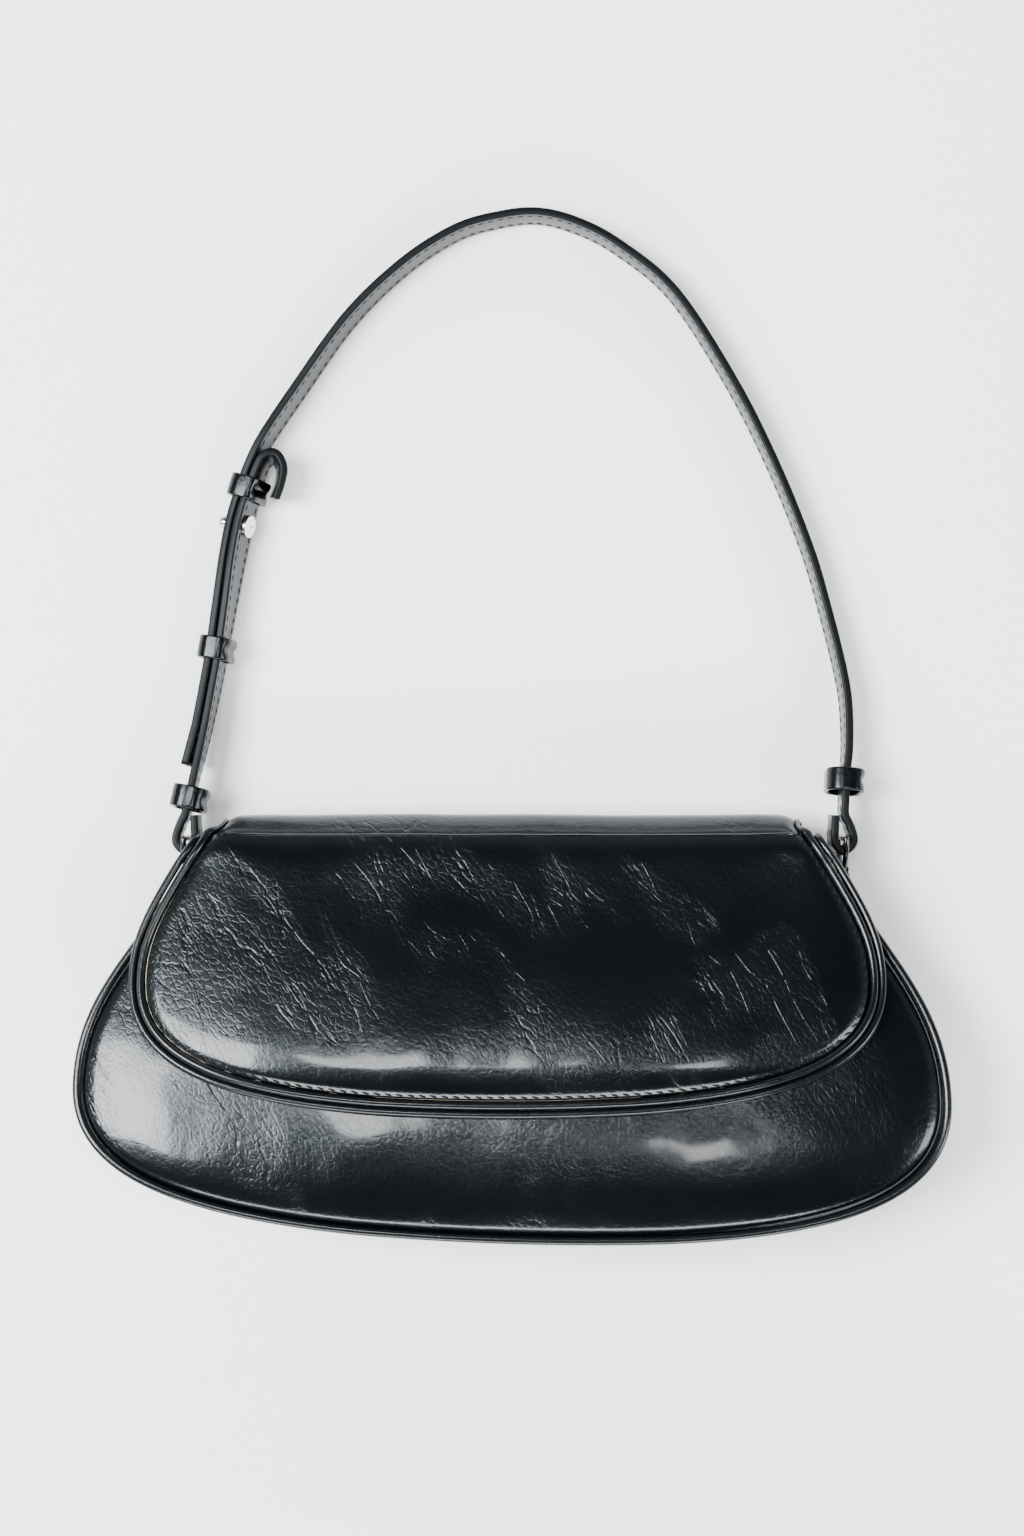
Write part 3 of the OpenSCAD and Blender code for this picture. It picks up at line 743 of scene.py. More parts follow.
def dress(obj: Obj, material: Material, body: str | None, slot: Slot | None = None, *nodes: str) -> None:
    """Gives a piece its material and body, and hides the nodes that it replaces."""
    obj.data.materials.clear()
    obj.data.materials.append(material)
    if body is not None:
        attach(obj, body.value if isinstance(body, Body) else body)
    if nodes:
        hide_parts(*nodes)


def declare_cloth(grid: Array) -> None:
    """Works out the cross products of a lining's grid cells, and keeps nothing.

    Args:
        grid: rows of points of its face, in millimetres.
    """
    first = np.cross(grid[1:, :-1] - grid[:-1, :-1], grid[:-1, 1:] - grid[:-1, :-1])
    second = np.cross(grid[1:, :-1] - grid[1:, 1:], grid[:-1, 1:] - grid[1:, 1:])


class StitchTree:
    """Geometry nodes that set one stitch on each point, turned by its `along` and `up`."""

    half_width = 0.00034
    half_height = 0.00027

    def __init__(self, material: Material) -> None:
        tree = bpy.data.node_groups.new("stitches", "GeometryNodeTree")
        new_socket = tree.interface.new_socket
        new_socket("Points", in_out="INPUT", socket_type="NodeSocketGeometry")
        self.size = new_socket("Length", in_out="INPUT", socket_type="NodeSocketFloat").identifier
        new_socket("Stitches", in_out="OUTPUT", socket_type="NodeSocketGeometry")
        source = add_node(tree, "NodeGroupInput")
        ball = add_node(tree, "GeometryNodeMeshUVSphere", {"Segments": 8, "Rings": 6, "Radius": 1.0})
        along, up = (
            add_node(tree, "GeometryNodeInputNamedAttribute", {"Name": name}, data_type="FLOAT_VECTOR")
            for name in ("along", "up")
        )
        first = add_node(tree, "FunctionNodeAlignRotationToVector", {"Vector": up.outputs[0]}, axis="Z")
        inputs = {"Rotation": first.outputs[0], "Vector": along.outputs[0]}
        second = add_node(tree, "FunctionNodeAlignRotationToVector", inputs, axis="X", pivot_axis="Z")
        half = add_node(tree, "ShaderNodeMath", {0: source.outputs["Length"], 1: 0.5}, operation="MULTIPLY")
        inputs = {"X": half.outputs[0], "Y": self.half_width, "Z": self.half_height}
        scale = add_node(tree, "ShaderNodeCombineXYZ", inputs)
        placed = add_node(tree, "GeometryNodeInstanceOnPoints", {
            "Points": source.outputs["Points"], "Instance": ball.outputs[0], "Rotation": second.outputs[0],
            "Scale": scale.outputs[0],
        })
        real = add_node(tree, "GeometryNodeRealizeInstances", {0: placed.outputs[0]})
        shade = add_node(tree, "GeometryNodeSetShadeSmooth", {0: real.outputs[0]})
        paint = add_node(tree, "GeometryNodeSetMaterial", {0: shade.outputs[0], "Material": material})
        add_node(tree, "NodeGroupOutput", {0: paint.outputs[0]})
        self.tree = tree
        self.material = material

    def sew(self, name: str, points: Array, along: Array, up: Array, length: float, body: Body | str,
            slot: Slot) -> Obj:
        """A row of stitches as one plain mesh.

        Args:
            name: piece name.
            points: places in metres.
            along: direction of each stitch.
            up: direction out of the leather.
            length: length of a stitch in millimetres.
            body: body that the stitches ride on.
            slot: record slot of the leather they are in; not used.

        Returns:
            The stitches.
        """
        mesh = bpy.data.meshes.new(name)
        mesh.from_pydata([tuple(p) for p in points], [], [])
        for label, values in (("along", along), ("up", up)):
            mesh.attributes.new(label, "FLOAT_VECTOR", "POINT").data.foreach_set(
                "vector", np.asarray(values, np.float32).reshape(-1)
            )
        obj = bpy.data.objects.new(name, mesh)
        bpy.context.scene.collection.objects.link(obj)
        modifier = obj.modifiers.new("stitches", "NODES")
        modifier.node_group = self.tree
        modifier[self.size] = length / 1000
        plain = bpy.data.meshes.new_from_object(obj.evaluated_get(bpy.context.evaluated_depsgraph_get()))
        obj.modifiers.clear()
        obj.data = plain
        dress(obj, self.material, body, slot)
        return obj


def along_line(line: Array, pitch: float, start: float = 0.0, stop: float = 0.0) -> Array:
    """Indices, with fractions, of even steps along a polyline."""
    steps = np.linalg.norm(np.diff(line, axis=0), axis=1)
    length = np.concatenate([[0], np.cumsum(steps)])
    wanted = np.arange(start, length[-1] - stop, pitch)
    return np.interp(wanted, length, np.arange(len(line)))


def sample(values: Array, index: Array) -> Array:
    """Values of a list of rows at fractional indices."""
    base = np.arange(len(values))
    return np.stack([np.interp(index, base, values[:, k]) for k in range(values.shape[1])], axis=1)


@dataclass
class Maker:
    """What each group of pieces is made with."""

    form: BagForm
    finish: Finishes
    stitches: StitchTree


@dataclass
class Shell(Maker):
    """The bag's own walls, piping, lining and tabs."""

    def build(self) -> None:
        """Makes every piece that stays with the bag."""
        self.front_panel()
        self.gusset()
        self.piping()
        self.back_panel()
        self.binding()
        self.linings()
        self.pocket()
        self.tabs()

    def front_panel(self) -> None:
        """Domed front with leather that turns down into the piping."""
        f = self.form
        line = f.body_line(f.front_top, f.piping_d - 0.5)
        rows = f.rows(line)
        depth = distance_to_line(rows, f.around(line))
        turn = 1.7 * np.exp(-((depth / 1.7) ** 2)) + 1.5 * np.exp(-depth / 7)
        wave = undulation(rows, 34, 0.5, 3.1) + undulation(rows, 13, 0.16, 8.2)
        z = f.skin_z(rows[..., 0], rows[..., 1]) - turn + wave * smooth(depth / 12)
        xy = f.leaned(rows)
        top = np.concatenate([xy, z[..., None]], axis=2)
        low = top - np.array([0, 0, f.leather_t * 0.9])
        obj = slab(f, "front_leather", top, low)
        dress(obj, self.finish.leather, Body.BAG, Slot.LEATHER, "front_panel")

    def wall_line(self, d: float) -> Array:
        """Outline of the body, drawn in and leaned."""
        f = self.form
        return f.leaned(f.around(f.body_line(f.roll_y - 6, d)))

    def gusset(self) -> None:
        """Upright wall with a slight belly between the two pipings."""
        f = self.form
        d = f.piping_d - f.leather_t - 0.2
        front, back = self.wall_line(d), self.wall_line(d + f.back_in)
        out = unit_rows(np.gradient(front, axis=0))
        out = np.stack([out[:, 1], -out[:, 0]], axis=1) * -1
        steps = 14
        outer, inner = [], []
        for k in range(steps + 1):
            s = k / steps
            high = f.rim_z(front[:, 1]) - f.piping_d
            z = high + (f.piping_d + 0.2 - high) * s
            xy = front + (back - front) * s
            wave = undulation(np.stack([np.arange(len(front)) * 2.2, z], 1), 26, 0.35, 5.0)
            moved = xy + out * ((0.9 + wave) * math.sin(math.pi * s))[:, None]
            outer.append(np.column_stack([moved, z]))
            inner.append(np.column_stack([moved - out * f.leather_t, z]))
        obj = slab(f, "gusset_leather", np.array(outer), np.array(inner))
        dress(obj, self.finish.leather, Body.BAG, Slot.LEATHER, "gusset")

    def piping(self) -> None:
        """Two corded edges."""
        f = self.form
        for name, inset, z_of in (
            ("front", 0.0, lambda y: f.rim_z(y) - f.piping_d / 2 + 0.6),
            ("back", f.back_in, lambda y: np.full_like(y, f.piping_d / 2)),
        ):
            line = self.wall_line(inset + f.piping_d / 2)
            path = np.column_stack([line, z_of(line[:, 1])])
            obj = sweep(f, f"{name}_cord", path, round_section(f.piping_d - 0.1, 18))
            dress(obj, self.finish.edge, Body.BAG, Slot.EDGE, f"{name}_piping")

    def back_panel(self) -> None:
        """Flat back that the bag lies on."""
        f = self.form
        line = f.body_line(f.roll_y, f.back_in + f.piping_d - 0.3)
        rows = f.rows(line)
        depth = distance_to_line(rows, f.around(line))
        z = 0.9 * np.exp(-((depth / 1.6) ** 2))
        top = np.concatenate([f.leaned(rows), np.full(z.shape, f.leather_t)[..., None]], axis=2)
        low = np.concatenate([f.leaned(rows), z[..., None]], axis=2)
        obj = slab(f, "back_leather", top, low)
        dress(obj, self.finish.leather, Body.BAG, Slot.LEATHER, "back_panel")

    def cloth(self, name: str, top: Array, low: Array, node: str, rests_on: str) -> None:
        """One closed sheet of lining that stays with the bag."""
        obj = slab(self.form, name, top, low)
        dress(obj, self.finish.lining, Body.BAG, Slot.LINING, node)
        declare_cloth(top)

    def binding(self) -> None:
        """The mouth's turned edge."""
        f = self.form
        deep = f.leather_t + f.pad_t + f.lining_t
        row = f.rows(f.body_line(f.front_top, f.piping_d))[-1]
        z = f.skin_z(row[:, 0], row[:, 1]) + (0.3 - deep) / 2
        xy = f.leaned(row)
        path = np.column_stack([0.97 * xy[:, 0], xy[:, 1] + f.seat + 1, z])
        obj = sweep(f, "mouth_edge", path, rounded_box(2, deep + 0.3, 0.75))
        dress(obj, self.finish.edge, Body.BAG, Slot.EDGE, "mouth_binding")

    def linings(self) -> None:
        """Cloth inside the front, the back and the gusset."""
        f = self.form
        line = f.body_line(f.front_top, f.piping_d + f.leather_t + f.lining_t + 2 * f.seat)
        rows = f.rows(line, 90)
        depth = smooth(distance_to_line(rows, f.around(line)) / 15)
        z = f.skin_z(rows[..., 0], rows[..., 1]) - f.leather_t - f.pad_t
        sag = (undulation(rows, 24, 0.5, 21.0) + 0.35) * depth
        xy = f.leaned(rows)
        self.cloth("front_cloth", np.dstack([xy, z]), np.dstack([xy, z - f.lining_t - np.maximum(sag, 0)]),
                   "front_lining", "front_leather")
        line = f.body_line(f.roll_y - 4, f.back_in + f.piping_d + f.leather_t + 0.3)
        rows = f.rows(line, 90)
        depth = smooth(distance_to_line(rows, f.around(line)) / 15)
        floor = f.leather_t + f.board_t + 2 * f.seat
        puff = np.maximum(undulation(rows, 22, 0.5, 17.0) + 0.3, 0) * depth * (np.abs(rows[..., 0]) > 64)
        xy = f.leaned(rows)
        top, low = np.dstack([xy, floor + f.lining_t + puff]), np.dstack([xy, np.full(puff.shape, floor)])
        self.cloth("back_cloth", top, low, "back_lining", "back_board")
        d = f.piping_d + f.seat
        low_z = floor + f.lining_t + f.seat
        outer, inner = [], []
        front, back = self.wall_line(d), self.wall_line(d + f.back_in)
        front_in, back_in = self.wall_line(d + f.lining_t), self.wall_line(d + f.lining_t + f.back_in)
        for k in range(13):
            s = k / 12
            high = f.rim_z(front[:, 1]) - f.piping_d - 2 * f.lining_t
            z = high + (low_z - high) * s
            outer.append(np.column_stack([front + (back - front) * s, z]))
            inner.append(np.column_stack([front_in + (back_in - front_in) * s, z]))
        self.cloth("gusset_cloth", np.array(outer), np.array(inner), "gusset_lining", "gusset_leather")

    def pocket(self) -> None:
        """Slip pocket with a bulging mouth and a sewn edge."""
        f = self.form
        x, y = np.meshgrid(np.linspace(-f.pocket_w / 2, f.pocket_w / 2, 61),
                           np.linspace(f.pocket_y, f.pocket_y + f.pocket_h, 34))
        floor = f.leather_t + f.board_t + f.lining_t + 3 * f.seat
        up = (y - f.pocket_y) / f.pocket_h
        bulge = f.pocket_bulge * (1 - (2 * x / f.pocket_w) ** 4) * up**2
        hem = 0.35 * smooth((up - 0.84) / 0.03)
        top, low = np.dstack([x, y, floor + bulge + f.lining_t + hem]), np.dstack([x, y, floor + bulge])
        self.cloth("pocket_cloth", top, low, "slip_pocket", "back_cloth")
        half, base = f.pocket_w / 2 - f.pocket_seam, f.pocket_y + f.pocket_seam
        high = f.pocket_y + f.pocket_h - 2
        path = np.array([(-half, high, 0), (-half, base, 0), (half, base, 0), (half, high, 0)])
        index = along_line(path, 3.4, 2, 2)
        places = sample(path, index)
        up = (places[:, 1] - f.pocket_y) / f.pocket_h
        bulge = f.pocket_bulge * (1 - (2 * places[:, 0] / f.pocket_w) ** 4) * up**2
        places[:, 2] = floor + f.lining_t + bulge + 0.1
        legs = unit_rows(np.diff(path, axis=0))[np.minimum(index.astype(int), 2)]
        outs = np.tile([0, 0, 1.0], (len(places), 1))
        self.stitches.sew("pocket_stitches", metres(f, places), legs, outs, 2.4, Body.BAG, Slot.LINING)

    def edge_point(self, way: int, y: float, d: float) -> Array:
        """Point on the body's upper side, drawn in."""
        f = self.form
        curve = f.body_curves[1]
        t = curve.t_at_height(y)
        p = curve.at(np.array([t - 0.01, t, t + 0.01]))
        along = unit_rows(p[2:] - p[:1])[0]
        moved = p[1] + d * np.array([-along[1], along[0]])
        return f.leaned(np.array([way * moved[0], moved[1]]))

    def tabs(self) -> None:
        """Folded strips, sewn to the gusset and looped round the rings' arcs."""
        f = self.form
        sag = f.ring_r - math.sqrt(f.ring_r**2 - (f.tab_w / 2) ** 2)
        turn_r = f.ring_wire / 2 + sag / 2 + f.seat + f.tab_t / 2
        out = f.piping_d - f.leather_t - f.seat - 0.3 - f.tab_half_t
        last = f.tab_half_t - f.tab_t / 2
        for way, name in ((-1, "left"), (1, "right")):
            eye = np.array([way * f.side_x + f.ring_shift, f.ring_y - f.ring_r + sag / 2])
            high, low = (self.edge_point(way, f.roll_y - d, out) for d in (f.tab_from, f.tab_to))
            across, down = (
                unit_rows(np.array([[-(a - b)[1], (a - b)[0]]]))[0] for a, b in ((eye, high), (high, low))
            )
            start = math.atan2(*(high - eye)[::-1])
            arc = [eye + turn_r * np.array([math.cos(start + a), math.sin(start + a)])
                   for a in np.linspace(0.75, 2 * math.pi - 0.75, 25)]
            side = last * (across + down) / 2
            line = [low - last * down, high - side, *arc, high + side, low + last * down]
            path = np.column_stack([np.array(line), np.full(len(line), f.ring_z)])
            obj = sweep(f, f"{name}_tab_leather", path, rounded_box(f.tab_t, f.tab_w, 0.35, 3))
            dress(obj, self.finish.edge, Body.BAG, Slot.LEATHER, f"{name}_tab")


@dataclass
class Flap(Maker):
    """The flap's padded sheet, which runs on over the roll, with its lining, beads and stitches."""

    stitch_in: float = 7.3

    def line(self, d: float) -> Array:
        """Side line of the flap's sheet, drawn in."""
        return self.form.drawn_in(self.form.flap_line(), d)

    def bend(self, obj: Obj, material: Material, slot: Slot, *nodes: str) -> None:
        """Dresses a piece that runs on past the crease, without a body, and bakes its place into its mesh."""
        dress(obj, material, None, slot, *nodes)
        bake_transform(obj)

    def build(self) -> None:
        """Makes the flap's pieces."""
        self.panel()
        self.beads()
        self.seam()
        self.lining()

    def relief(self, rows: Array, rim: Array) -> Array:
        """How far the leather dips at its edge and along the stitches."""
        depth = distance_to_line(rows, rim)
        edge = 1.5 * np.exp(-((depth / 1.1) ** 2))
        groove = 0.55 * np.exp(-(((depth - (self.stitch_in - 5.6)) / 1.0) ** 2))
        pad = 0.7 * np.exp(-np.maximum(depth - 3, 0) / 4)
        wave = undulation(rows, 38, 0.55, 12.5) + undulation(rows, 15, 0.18, 4.4)
        return edge + groove + pad - wave * smooth(depth / 14)

    def panel(self) -> None:
        """The outer leather, one closed sheet."""
        f = self.form
        line = self.line(f.sheet_in)
        rows = f.rows(line, 170)
        down = self.relief(rows, f.around(line))
        top = f.flap_points(rows, down)
        low = f.flap_points(rows, down * 0.3 + f.leather_t)
        obj = slab(f, "flap_leather", top, low)
        self.bend(obj, self.finish.leather, Slot.LEATHER, "flap_panel", "top_roll")

    def lining(self) -> None:
        """Cloth under the flap, running on inside the roll."""
        f = self.form
        rows = f.rows(self.line(f.bead_d + f.seat), 100)
        top, low = f.flap_points(rows, f.flap_t - f.lining_t), f.flap_points(rows, f.flap_t)
        obj = slab(f, "flap_cloth", top, low)
        self.bend(obj, self.finish.lining, Slot.LINING, "flap_lining")
        declare_cloth(top)

    def beads(self) -> None:
        """Two cords along the flap's edge."""
        f = self.form
        for name, d, down, early in (
            ("inner", 1.5 * f.bead_d + 0.2, f.bead_d / 2 + 0.1, 0),
            ("outer", f.bead_d / 2, f.flap_t - f.bead_d / 2, 0.6),
        ):
            rim = f.around(self.line(d))
            if name == "outer":
                rim = rim[rim[:, 1] < f.crease_v]
            past = (rim[:, 1] - f.crease_v) / 5
            path = f.flap_points(rim, down + 0.9 * smooth(past))
            thin = 1 - 0.45 * smooth(past + early)
            obj = sweep(f, f"flap_{name}_cord", path, round_section(f.bead_d - 0.1, 18), fade=thin)
            self.bend(obj, self.finish.edge, Slot.EDGE, f"flap_{name}_bead")

    def seam(self) -> None:
        """Slanted stitches inside the beads."""
        f = self.form
        rim = f.around(self.line(self.stitch_in))
        rim = rim[rim[:, 1] < f.crease_v - 1.5]
        path = f.flap_points(rim, self.relief(rim, f.around(self.line(f.sheet_in))) - 0.1)
        index = along_line(path, 3.8, 1, 1)
        along = sample(unit_rows(np.gradient(path, axis=0)), index)
        side, _, up = path_frames(path)
        slant = unit_rows(along + 0.34 * sample(side, index))
        self.stitches.sew("flap_stitches", metres(f, sample(path, index)), slant, sample(up, index), 2.9,
                          Body.FLAP, Slot.LEATHER)


@dataclass
class Strap(Maker):
    """The two strap pieces and their keepers, along the same route as the part's source."""

    steps: int = 10

    def loop(self, way: int) -> list[list[float]]:
        """Loop round a ring's bar."""
        f = self.form
        half = f.loop_gap / 2
        mid = half + f.strap_t / 2
        shape = [
            (-mid + 0.3, 8), (-mid + 0.2, 4), (-mid + 0.2, -1.6), (-0.2, -half - 2.7),
            (mid - 0.4, -2.4), (mid + 0.2, 0.4), (mid - 1.2, 4.8), (0.5, 8.2),
        ]
        ring_x = way * f.side_x + f.ring_shift
        return [[ring_x + way * x, f.ring_y + y, f.ring_z, 0] for x, y in shape]

    def placed(self, points: Sequence[Sequence[float]]) -> list[list[float]]:
        """Shares of the ring's distance and of the crest's height to places."""
        f = self.form
        rise, low = f.strap_crest - f.ring_y, f.strap_w / 2 + 0.4
        return [[p[0] * f.side_x, f.ring_y + p[1] * rise, low + p[2], p[3]] for p in points]

    def spline(self, points: Sequence[Sequence[float]]) -> Array:
        """Catmull-Rom curve through the points."""
        p = np.array(points, float)
        out = []
        for i in range(len(p) - 1):
            a, b, c, d = p[max(0, i - 1)], p[i], p[i + 1], p[min(len(p) - 1, i + 2)]
            for k in range(self.steps):
                t = k / self.steps
                out.append(0.5 * (2 * b + (c - a) * t + (2 * a - 5 * b + 4 * c - d) * t * t
                                  + (3 * b - a - 3 * c + d) * t**3))
        out.append(p[-1])
        return np.array(out)

    def routes(self) -> tuple[Array, Array]:
        """Middle lines of the long and the short strap: x, y, z, lean."""
        right_leg = self.placed([
            (1.014, 0.062, 8.4, 0), (1.018, 0.099, 7.2, 0), (1.026, 0.139, 6, 2), (1.027, 0.184, 4.6, 4),
            (1.022, 0.229, 3.2, 5), (1.005, 0.279, 1.8, 6),
        ])
        arc = self.placed([
            (0.965, 0.365, 0.4, 6), (0.911, 0.461, 0, 6), (0.81, 0.592, 0, 6), (0.679, 0.728, 0, 6),
            (0.501, 0.871, 0, 6), (0.331, 0.946, 0, 6), (0.2, 0.982, 0, 7), (0.078, 0.9975, 0.1, 7),
            (-0.044, 0.991, 0.1, 8), (-0.174, 0.97, 0.2, 9), (-0.331, 0.917, 0.3, 11),
            (-0.501, 0.831, 0.5, 13), (-0.666, 0.71, 1.2, 14), (-0.762, 0.634, 2.2, 13),
        ])
        left_leg = self.placed([(-0.984, 0.061, 8.2, 0), (-0.97, 0.098, 7.2, 0), (-0.954, 0.134, 6.2, -2)])
        run = self.placed([
            (-0.937, 0.175, 5.2, -4), (-0.915, 0.234, 4, -6), (-0.895, 0.293, 3.1, -7),
            (-0.871, 0.37, 2.7, -12), (-0.845, 0.451, 2.7, -19), (-0.819, 0.515, 2.7, -20),
            (-0.778, 0.585, 2.7, -12),
        ])
        end = run[-1]
        curl = [
            [end[0] + x, end[1] + y, end[2], -12]
            for x, y in ((2.6, 4.6), (5.9, 5.2), (8, 1.2), (7.2, -4.4), (5.4, -9.4))
        ]
        loop_left = self.loop(-1)
        short = self.spline(loop_left + left_leg + run + curl)
        start = (len(loop_left) + len(left_leg)) * self.steps
        stop = start + (len(run) - 1) * self.steps
        side, _, _ = path_frames(short[:, :3], short[:, 3])
        outside = short[start:stop + 1].copy()
        outside[:, :3] -= self.form.ply * side[start:stop + 1]
        outside[:, 3] *= -1
        outside = outside[::-1]
        tail = outside[-1] + np.array([-3.4, -14, 1.2, 2])
        ends = np.linspace(0, 1, 9)[1:, None]
        last = outside[-1] + ends * (tail - outside[-1])
        lead = self.spline(self.loop(1) + right_leg + arc + [list(outside[0])])
        return np.vstack([lead, outside[1:], last]), short

    def build(self) -> None:
        """Makes both straps with their stitches."""
        long_route, short_route = self.routes()
        self.band("long_strap", long_route)
        self.band("short_strap", short_route)
        both, room = self.form.ply, 1.3
        for name, route, above, off, half_t in (
            ("lower_left", short_route, 13.8, 0, 5),
            ("middle", short_route, 66.2, -both / 2, both + room),
            ("upper", short_route, 122.5, -both / 2, both + room),
            ("right", long_route, 19.8, 0, 5.4),
        ):
            self.keeper(f"{name}_keeper", route, above, off, half_t)

    def keeper(self, name: str, route: Array, above: float, off: float, half_t: float) -> None:
        """A leather ring with rounded edges, pressed in where its ends meet.

        Args:
            name: CAD node that the ring replaces, and its body.
            route: strap that it slides on.
            above: height over the ring's bar.
            off: shift through the strap's thickness.
            half_t: half the bore through the thickness.
        """
        f = self.form
        first = 8 * self.steps - 6
        y = f.ring_y + above
        k = first + int(np.argmax(route[first + 1:, 1] >= y))
        share = (y - route[k, 1]) / (route[k + 1, 1] - route[k, 1])
        centre = (route[k] + share * (route[k + 1] - route[k]))[:3]
        side, along, up = (a[k + round(share)] for a in path_frames(route[:, :3], route[:, 3]))
        wall, half_w = f.keeper_wall, f.strap_w / 2 + f.keeper_slack
        r = half_t - f.keeper_flat + wall / 2
        around = []
        for cx, cy, start in ((1, 1, 0), (-1, 1, 90), (-1, -1, 180), (1, -1, 270)):
            a = np.radians(start + np.linspace(0, 90, 11))
            x, z = cx * (half_t + wall / 2 - r), cy * (half_w + wall / 2 - r)
            around.append(np.column_stack([x + r * np.cos(a), z + r * np.sin(a), np.cos(a), np.sin(a)]))
        ring = np.vstack(around)
        corners = rounded_box(wall, f.keeper_len, 0.5, 4)
        closed = np.vstack([corners, corners[:1]])
        section = sample(closed, along_line(closed, 0.4))
        butt = smooth((ring[:, 0] / (half_t + wall / 2) - 0.7) / 0.25)
        points = []
        for x, z, nx, nz, dip in np.column_stack([ring, butt]):
            for u, v in section:
                lift = u * (1 + 0.1 * math.cos(v / f.keeper_len * math.pi))
                lift -= 0.85 * dip * math.exp(-((v / 1.5) ** 2)) if u > 0 else 0
                points.append(centre + (off + x + lift * nx) * side + (z + lift * nz) * up + v * along)
        n, m = len(ring), len(section)
        faces = [(i * m + j, (i + 1) % n * m + j, (i + 1) % n * m + (j + 1) % m, i * m + (j + 1) % m)
                 for i in range(n) for j in range(m)]
        obj = new_object(f"{name}_leather", metres(f, np.array(points)), faces)
        dress(obj, self.finish.keeper, name, Slot.STRAP, name)

    def band(self, name: str, route: Array) -> None:
        """One strap: two plies with a painted edge between, stitched near both edges."""
        f = self.form
        path, lean = route[:, :3], route[:, 3]
        section = rounded_box(f.strap_t, f.strap_w, 0.75, 4)
        obj = sweep(f, f"{name}_leather", path, section, lean)
        dress(obj, self.finish.strap, Body.STRAP, Slot.STRAP, name)
        obj.data.materials.append(self.finish.paint)
        sides = len(section)
        middles = (section[:, 1] + np.roll(section[:, 1], -1)) / 2
        edges = np.abs(middles) > f.strap_w / 2 - 0.5
        for polygon in list(obj.data.polygons)[:-2]:
            polygon.material_index = int(edges[polygon.index % sides])
        side, along, up = path_frames(path, lean)
        index = along_line(path, 3.6, 6, 6)
        points, ways, outs = [], [], []
        for face in (-1, 1):
            for edge in (-1, 1):
                place = path + face * (f.strap_t / 2 - 0.05) * side + edge * (f.strap_w / 2 - 2.2) * up
                points.append(sample(place, index))
                ways.append(sample(along, index))
                outs.append(sample(face * side, index))
        self.stitches.sew(f"{name}_stitches", metres(f, np.vstack(points)), np.vstack(ways), np.vstack(outs),
                          2.5, Body.STRAP, Slot.STRAP)


def carried_nodes(finish: Finishes, frame: dict) -> None:
    """CAD solids that stay, with their materials."""
    looks = {
        finish.nickel: (
            "stud_base", "stud_ball", "snap_socket", "snap_socket_washer", "snap_post", "snap_post_washer",
        ),
        # The rings get metal whose colour is painted dark, a painted reflection of dark surroundings.
        finish.painted_reflection_dark_metal: ("left_ring", "right_ring"),
        finish.board: ("back_board", "base_board", "flap_board"),
    }
    for material, names in looks.items():
        for name in names:
            node = frame["nodes"][name]
            node.data.materials.clear()
            node.data.materials.append(material)


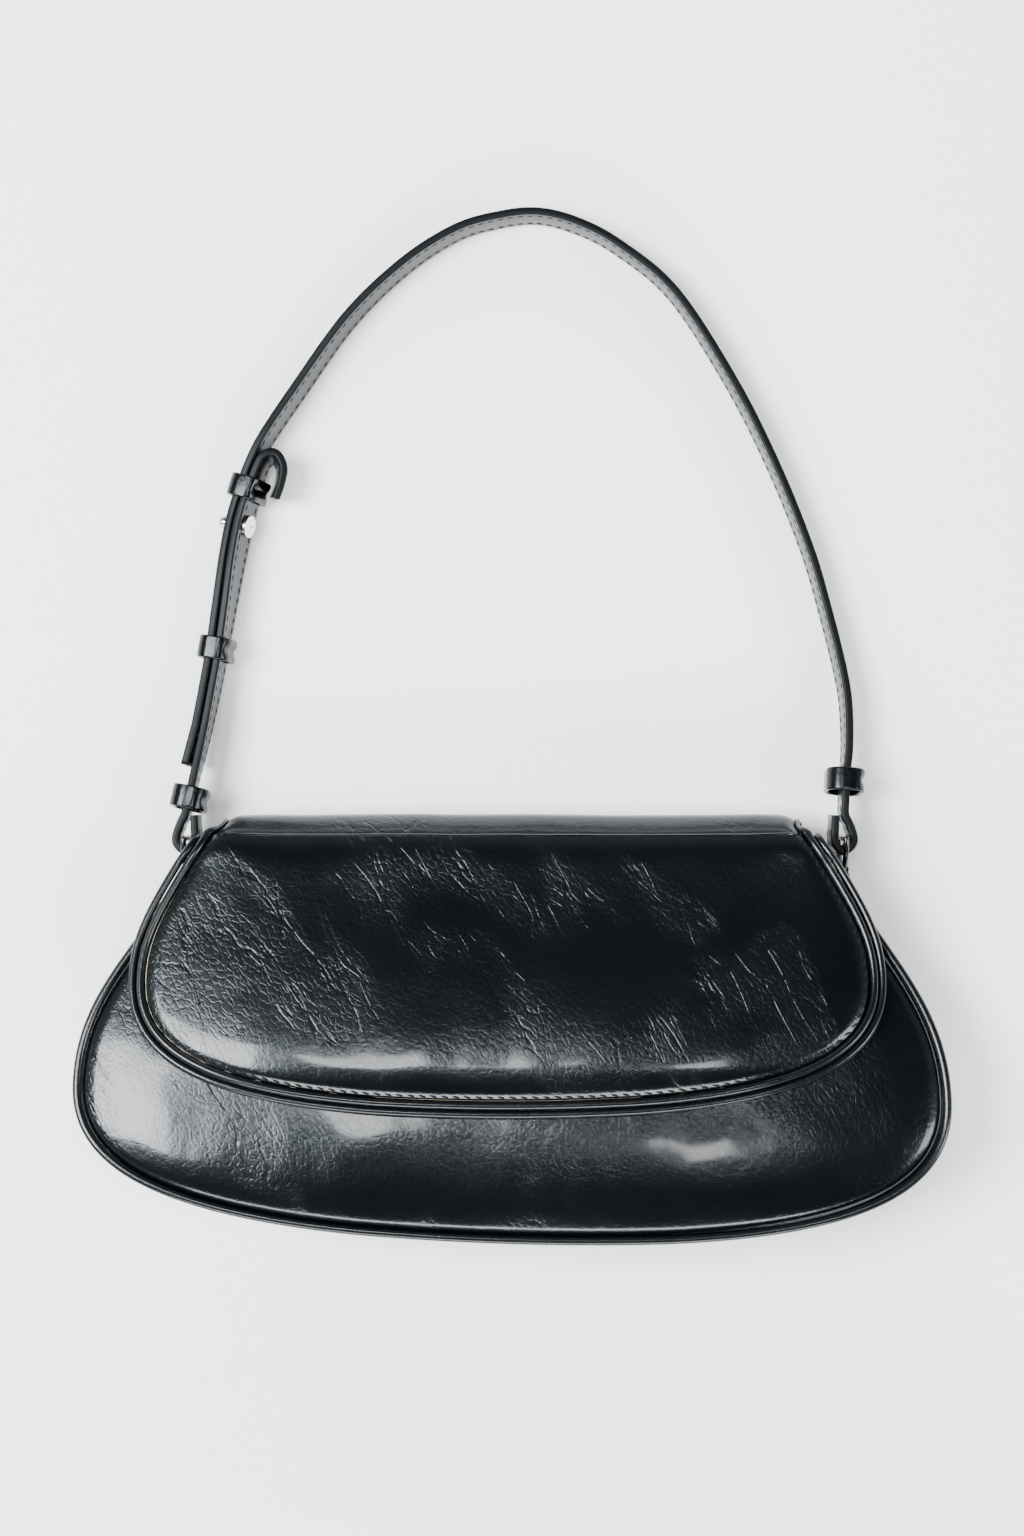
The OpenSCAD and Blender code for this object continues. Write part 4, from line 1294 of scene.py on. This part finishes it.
@dataclass(frozen=True)
class Studio:
    """Camera, floor and lights."""

    height: float = 0.9
    centre_y: float = -0.0182
    focal_px: float = 2522.5
    frame_px: float = 1536
    sensor: float = 36.0

    def camera(self) -> None:
        """A camera straight above the bag."""
        data = bpy.data.cameras.new("camera")
        data.sensor_fit = "VERTICAL"
        data.sensor_height = self.sensor
        data.sensor_width = self.sensor
        data.lens = self.focal_px / self.frame_px * self.sensor
        camera = bpy.data.objects.new("camera", data)
        camera.location = (0, self.centre_y, self.height)
        bpy.context.scene.collection.objects.link(camera)
        bpy.context.scene.camera = camera

    def floor(self, material: Material) -> None:
        """A wide pale ground."""
        half = 4.0
        corners = np.array([(-half, -half, 0), (half, -half, 0), (half, half, 0), (-half, half, 0)])
        ground = new_object("ground", corners, [(0, 1, 2, 3)])
        ground.data.materials.append(material)

    @staticmethod
    def softbox(name: str, place: Triple, aim: Triple, size: tuple[float, float], watts: float,
                mirrored: bool = True) -> None:
        """One rectangular light, seen in reflections or not."""
        data = bpy.data.lights.new(name, "AREA")
        data.shape = "RECTANGLE"
        data.size, data.size_y = size
        data.energy = watts
        lamp = bpy.data.objects.new(name, data)
        lamp.location = place
        lamp.visible_glossy = mirrored
        lamp.rotation_euler = (Vector(aim) - Vector(place)).to_track_quat("-Z", "Y").to_euler()
        bpy.context.scene.collection.objects.link(lamp)

    def lights(self) -> None:
        """Key from the left, fills round it, and a dim surround."""
        self.softbox("key", (-1.05, 0.08, 1.6), (0, -0.05, 0), (0.9, 0.9), 112)
        self.softbox("over_left", (-0.2, 0.34, 1.9), (0, 0, 0), (0.3, 0.22), 9)
        self.softbox("over_right", (0.36, 0.06, 1.9), (0, 0, 0), (0.22, 0.14), 4)
        self.softbox("low", (-0.1, -2.2, 1.2), (0, -0.1, 0), (2.2, 0.6), 95)
        self.softbox("back", (0.3, 2.4, 0.9), (0, 0.1, 0), (2.2, 0.6), 100, mirrored=False)
        self.softbox("right", (1.7, -0.4, 1.15), (0, -0.1, 0), (0.5, 1.1), 30)
        self.surround()

    @staticmethod
    def surround() -> None:
        """A room that is pale at the sides and dark overhead."""
        world = bpy.data.worlds.new("surround")
        world.use_nodes = True
        tree = world.node_tree
        place = add_node(tree, "ShaderNodeTexCoord").outputs["Generated"]
        split = add_node(tree, "ShaderNodeSeparateXYZ", {0: place})
        ramp = add_node(tree, "ShaderNodeMapRange", {
            "Value": split.outputs["Z"], "From Min": 0.3, "From Max": 0.8, "To Min": 0.6, "To Max": 0.015,
        }, interpolation_type="SMOOTHSTEP")
        back = tree.nodes["Background"]
        back.inputs["Color"].default_value = (0.9, 0.94, 1.0, 1)
        tree.links.new(ramp.outputs[0], back.inputs["Strength"])
        bpy.context.scene.world = world


def main() -> None:
    """Builds the scene."""
    logging.basicConfig(level=logging.INFO)
    for leftover in list(bpy.data.objects):
        bpy.data.objects.remove(leftover)
    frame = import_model()
    form = BagForm()
    finish = Finishes()
    stitches = StitchTree(finish.thread)
    studio = Studio()
    studio.camera()
    studio.floor(finish.ground)
    studio.lights()
    carried_nodes(finish, frame)
    Shell(form, finish, stitches).build()
    Flap(form, finish, stitches).build()
    Strap(form, finish, stitches).build()


if __name__ == "__main__":
    main()
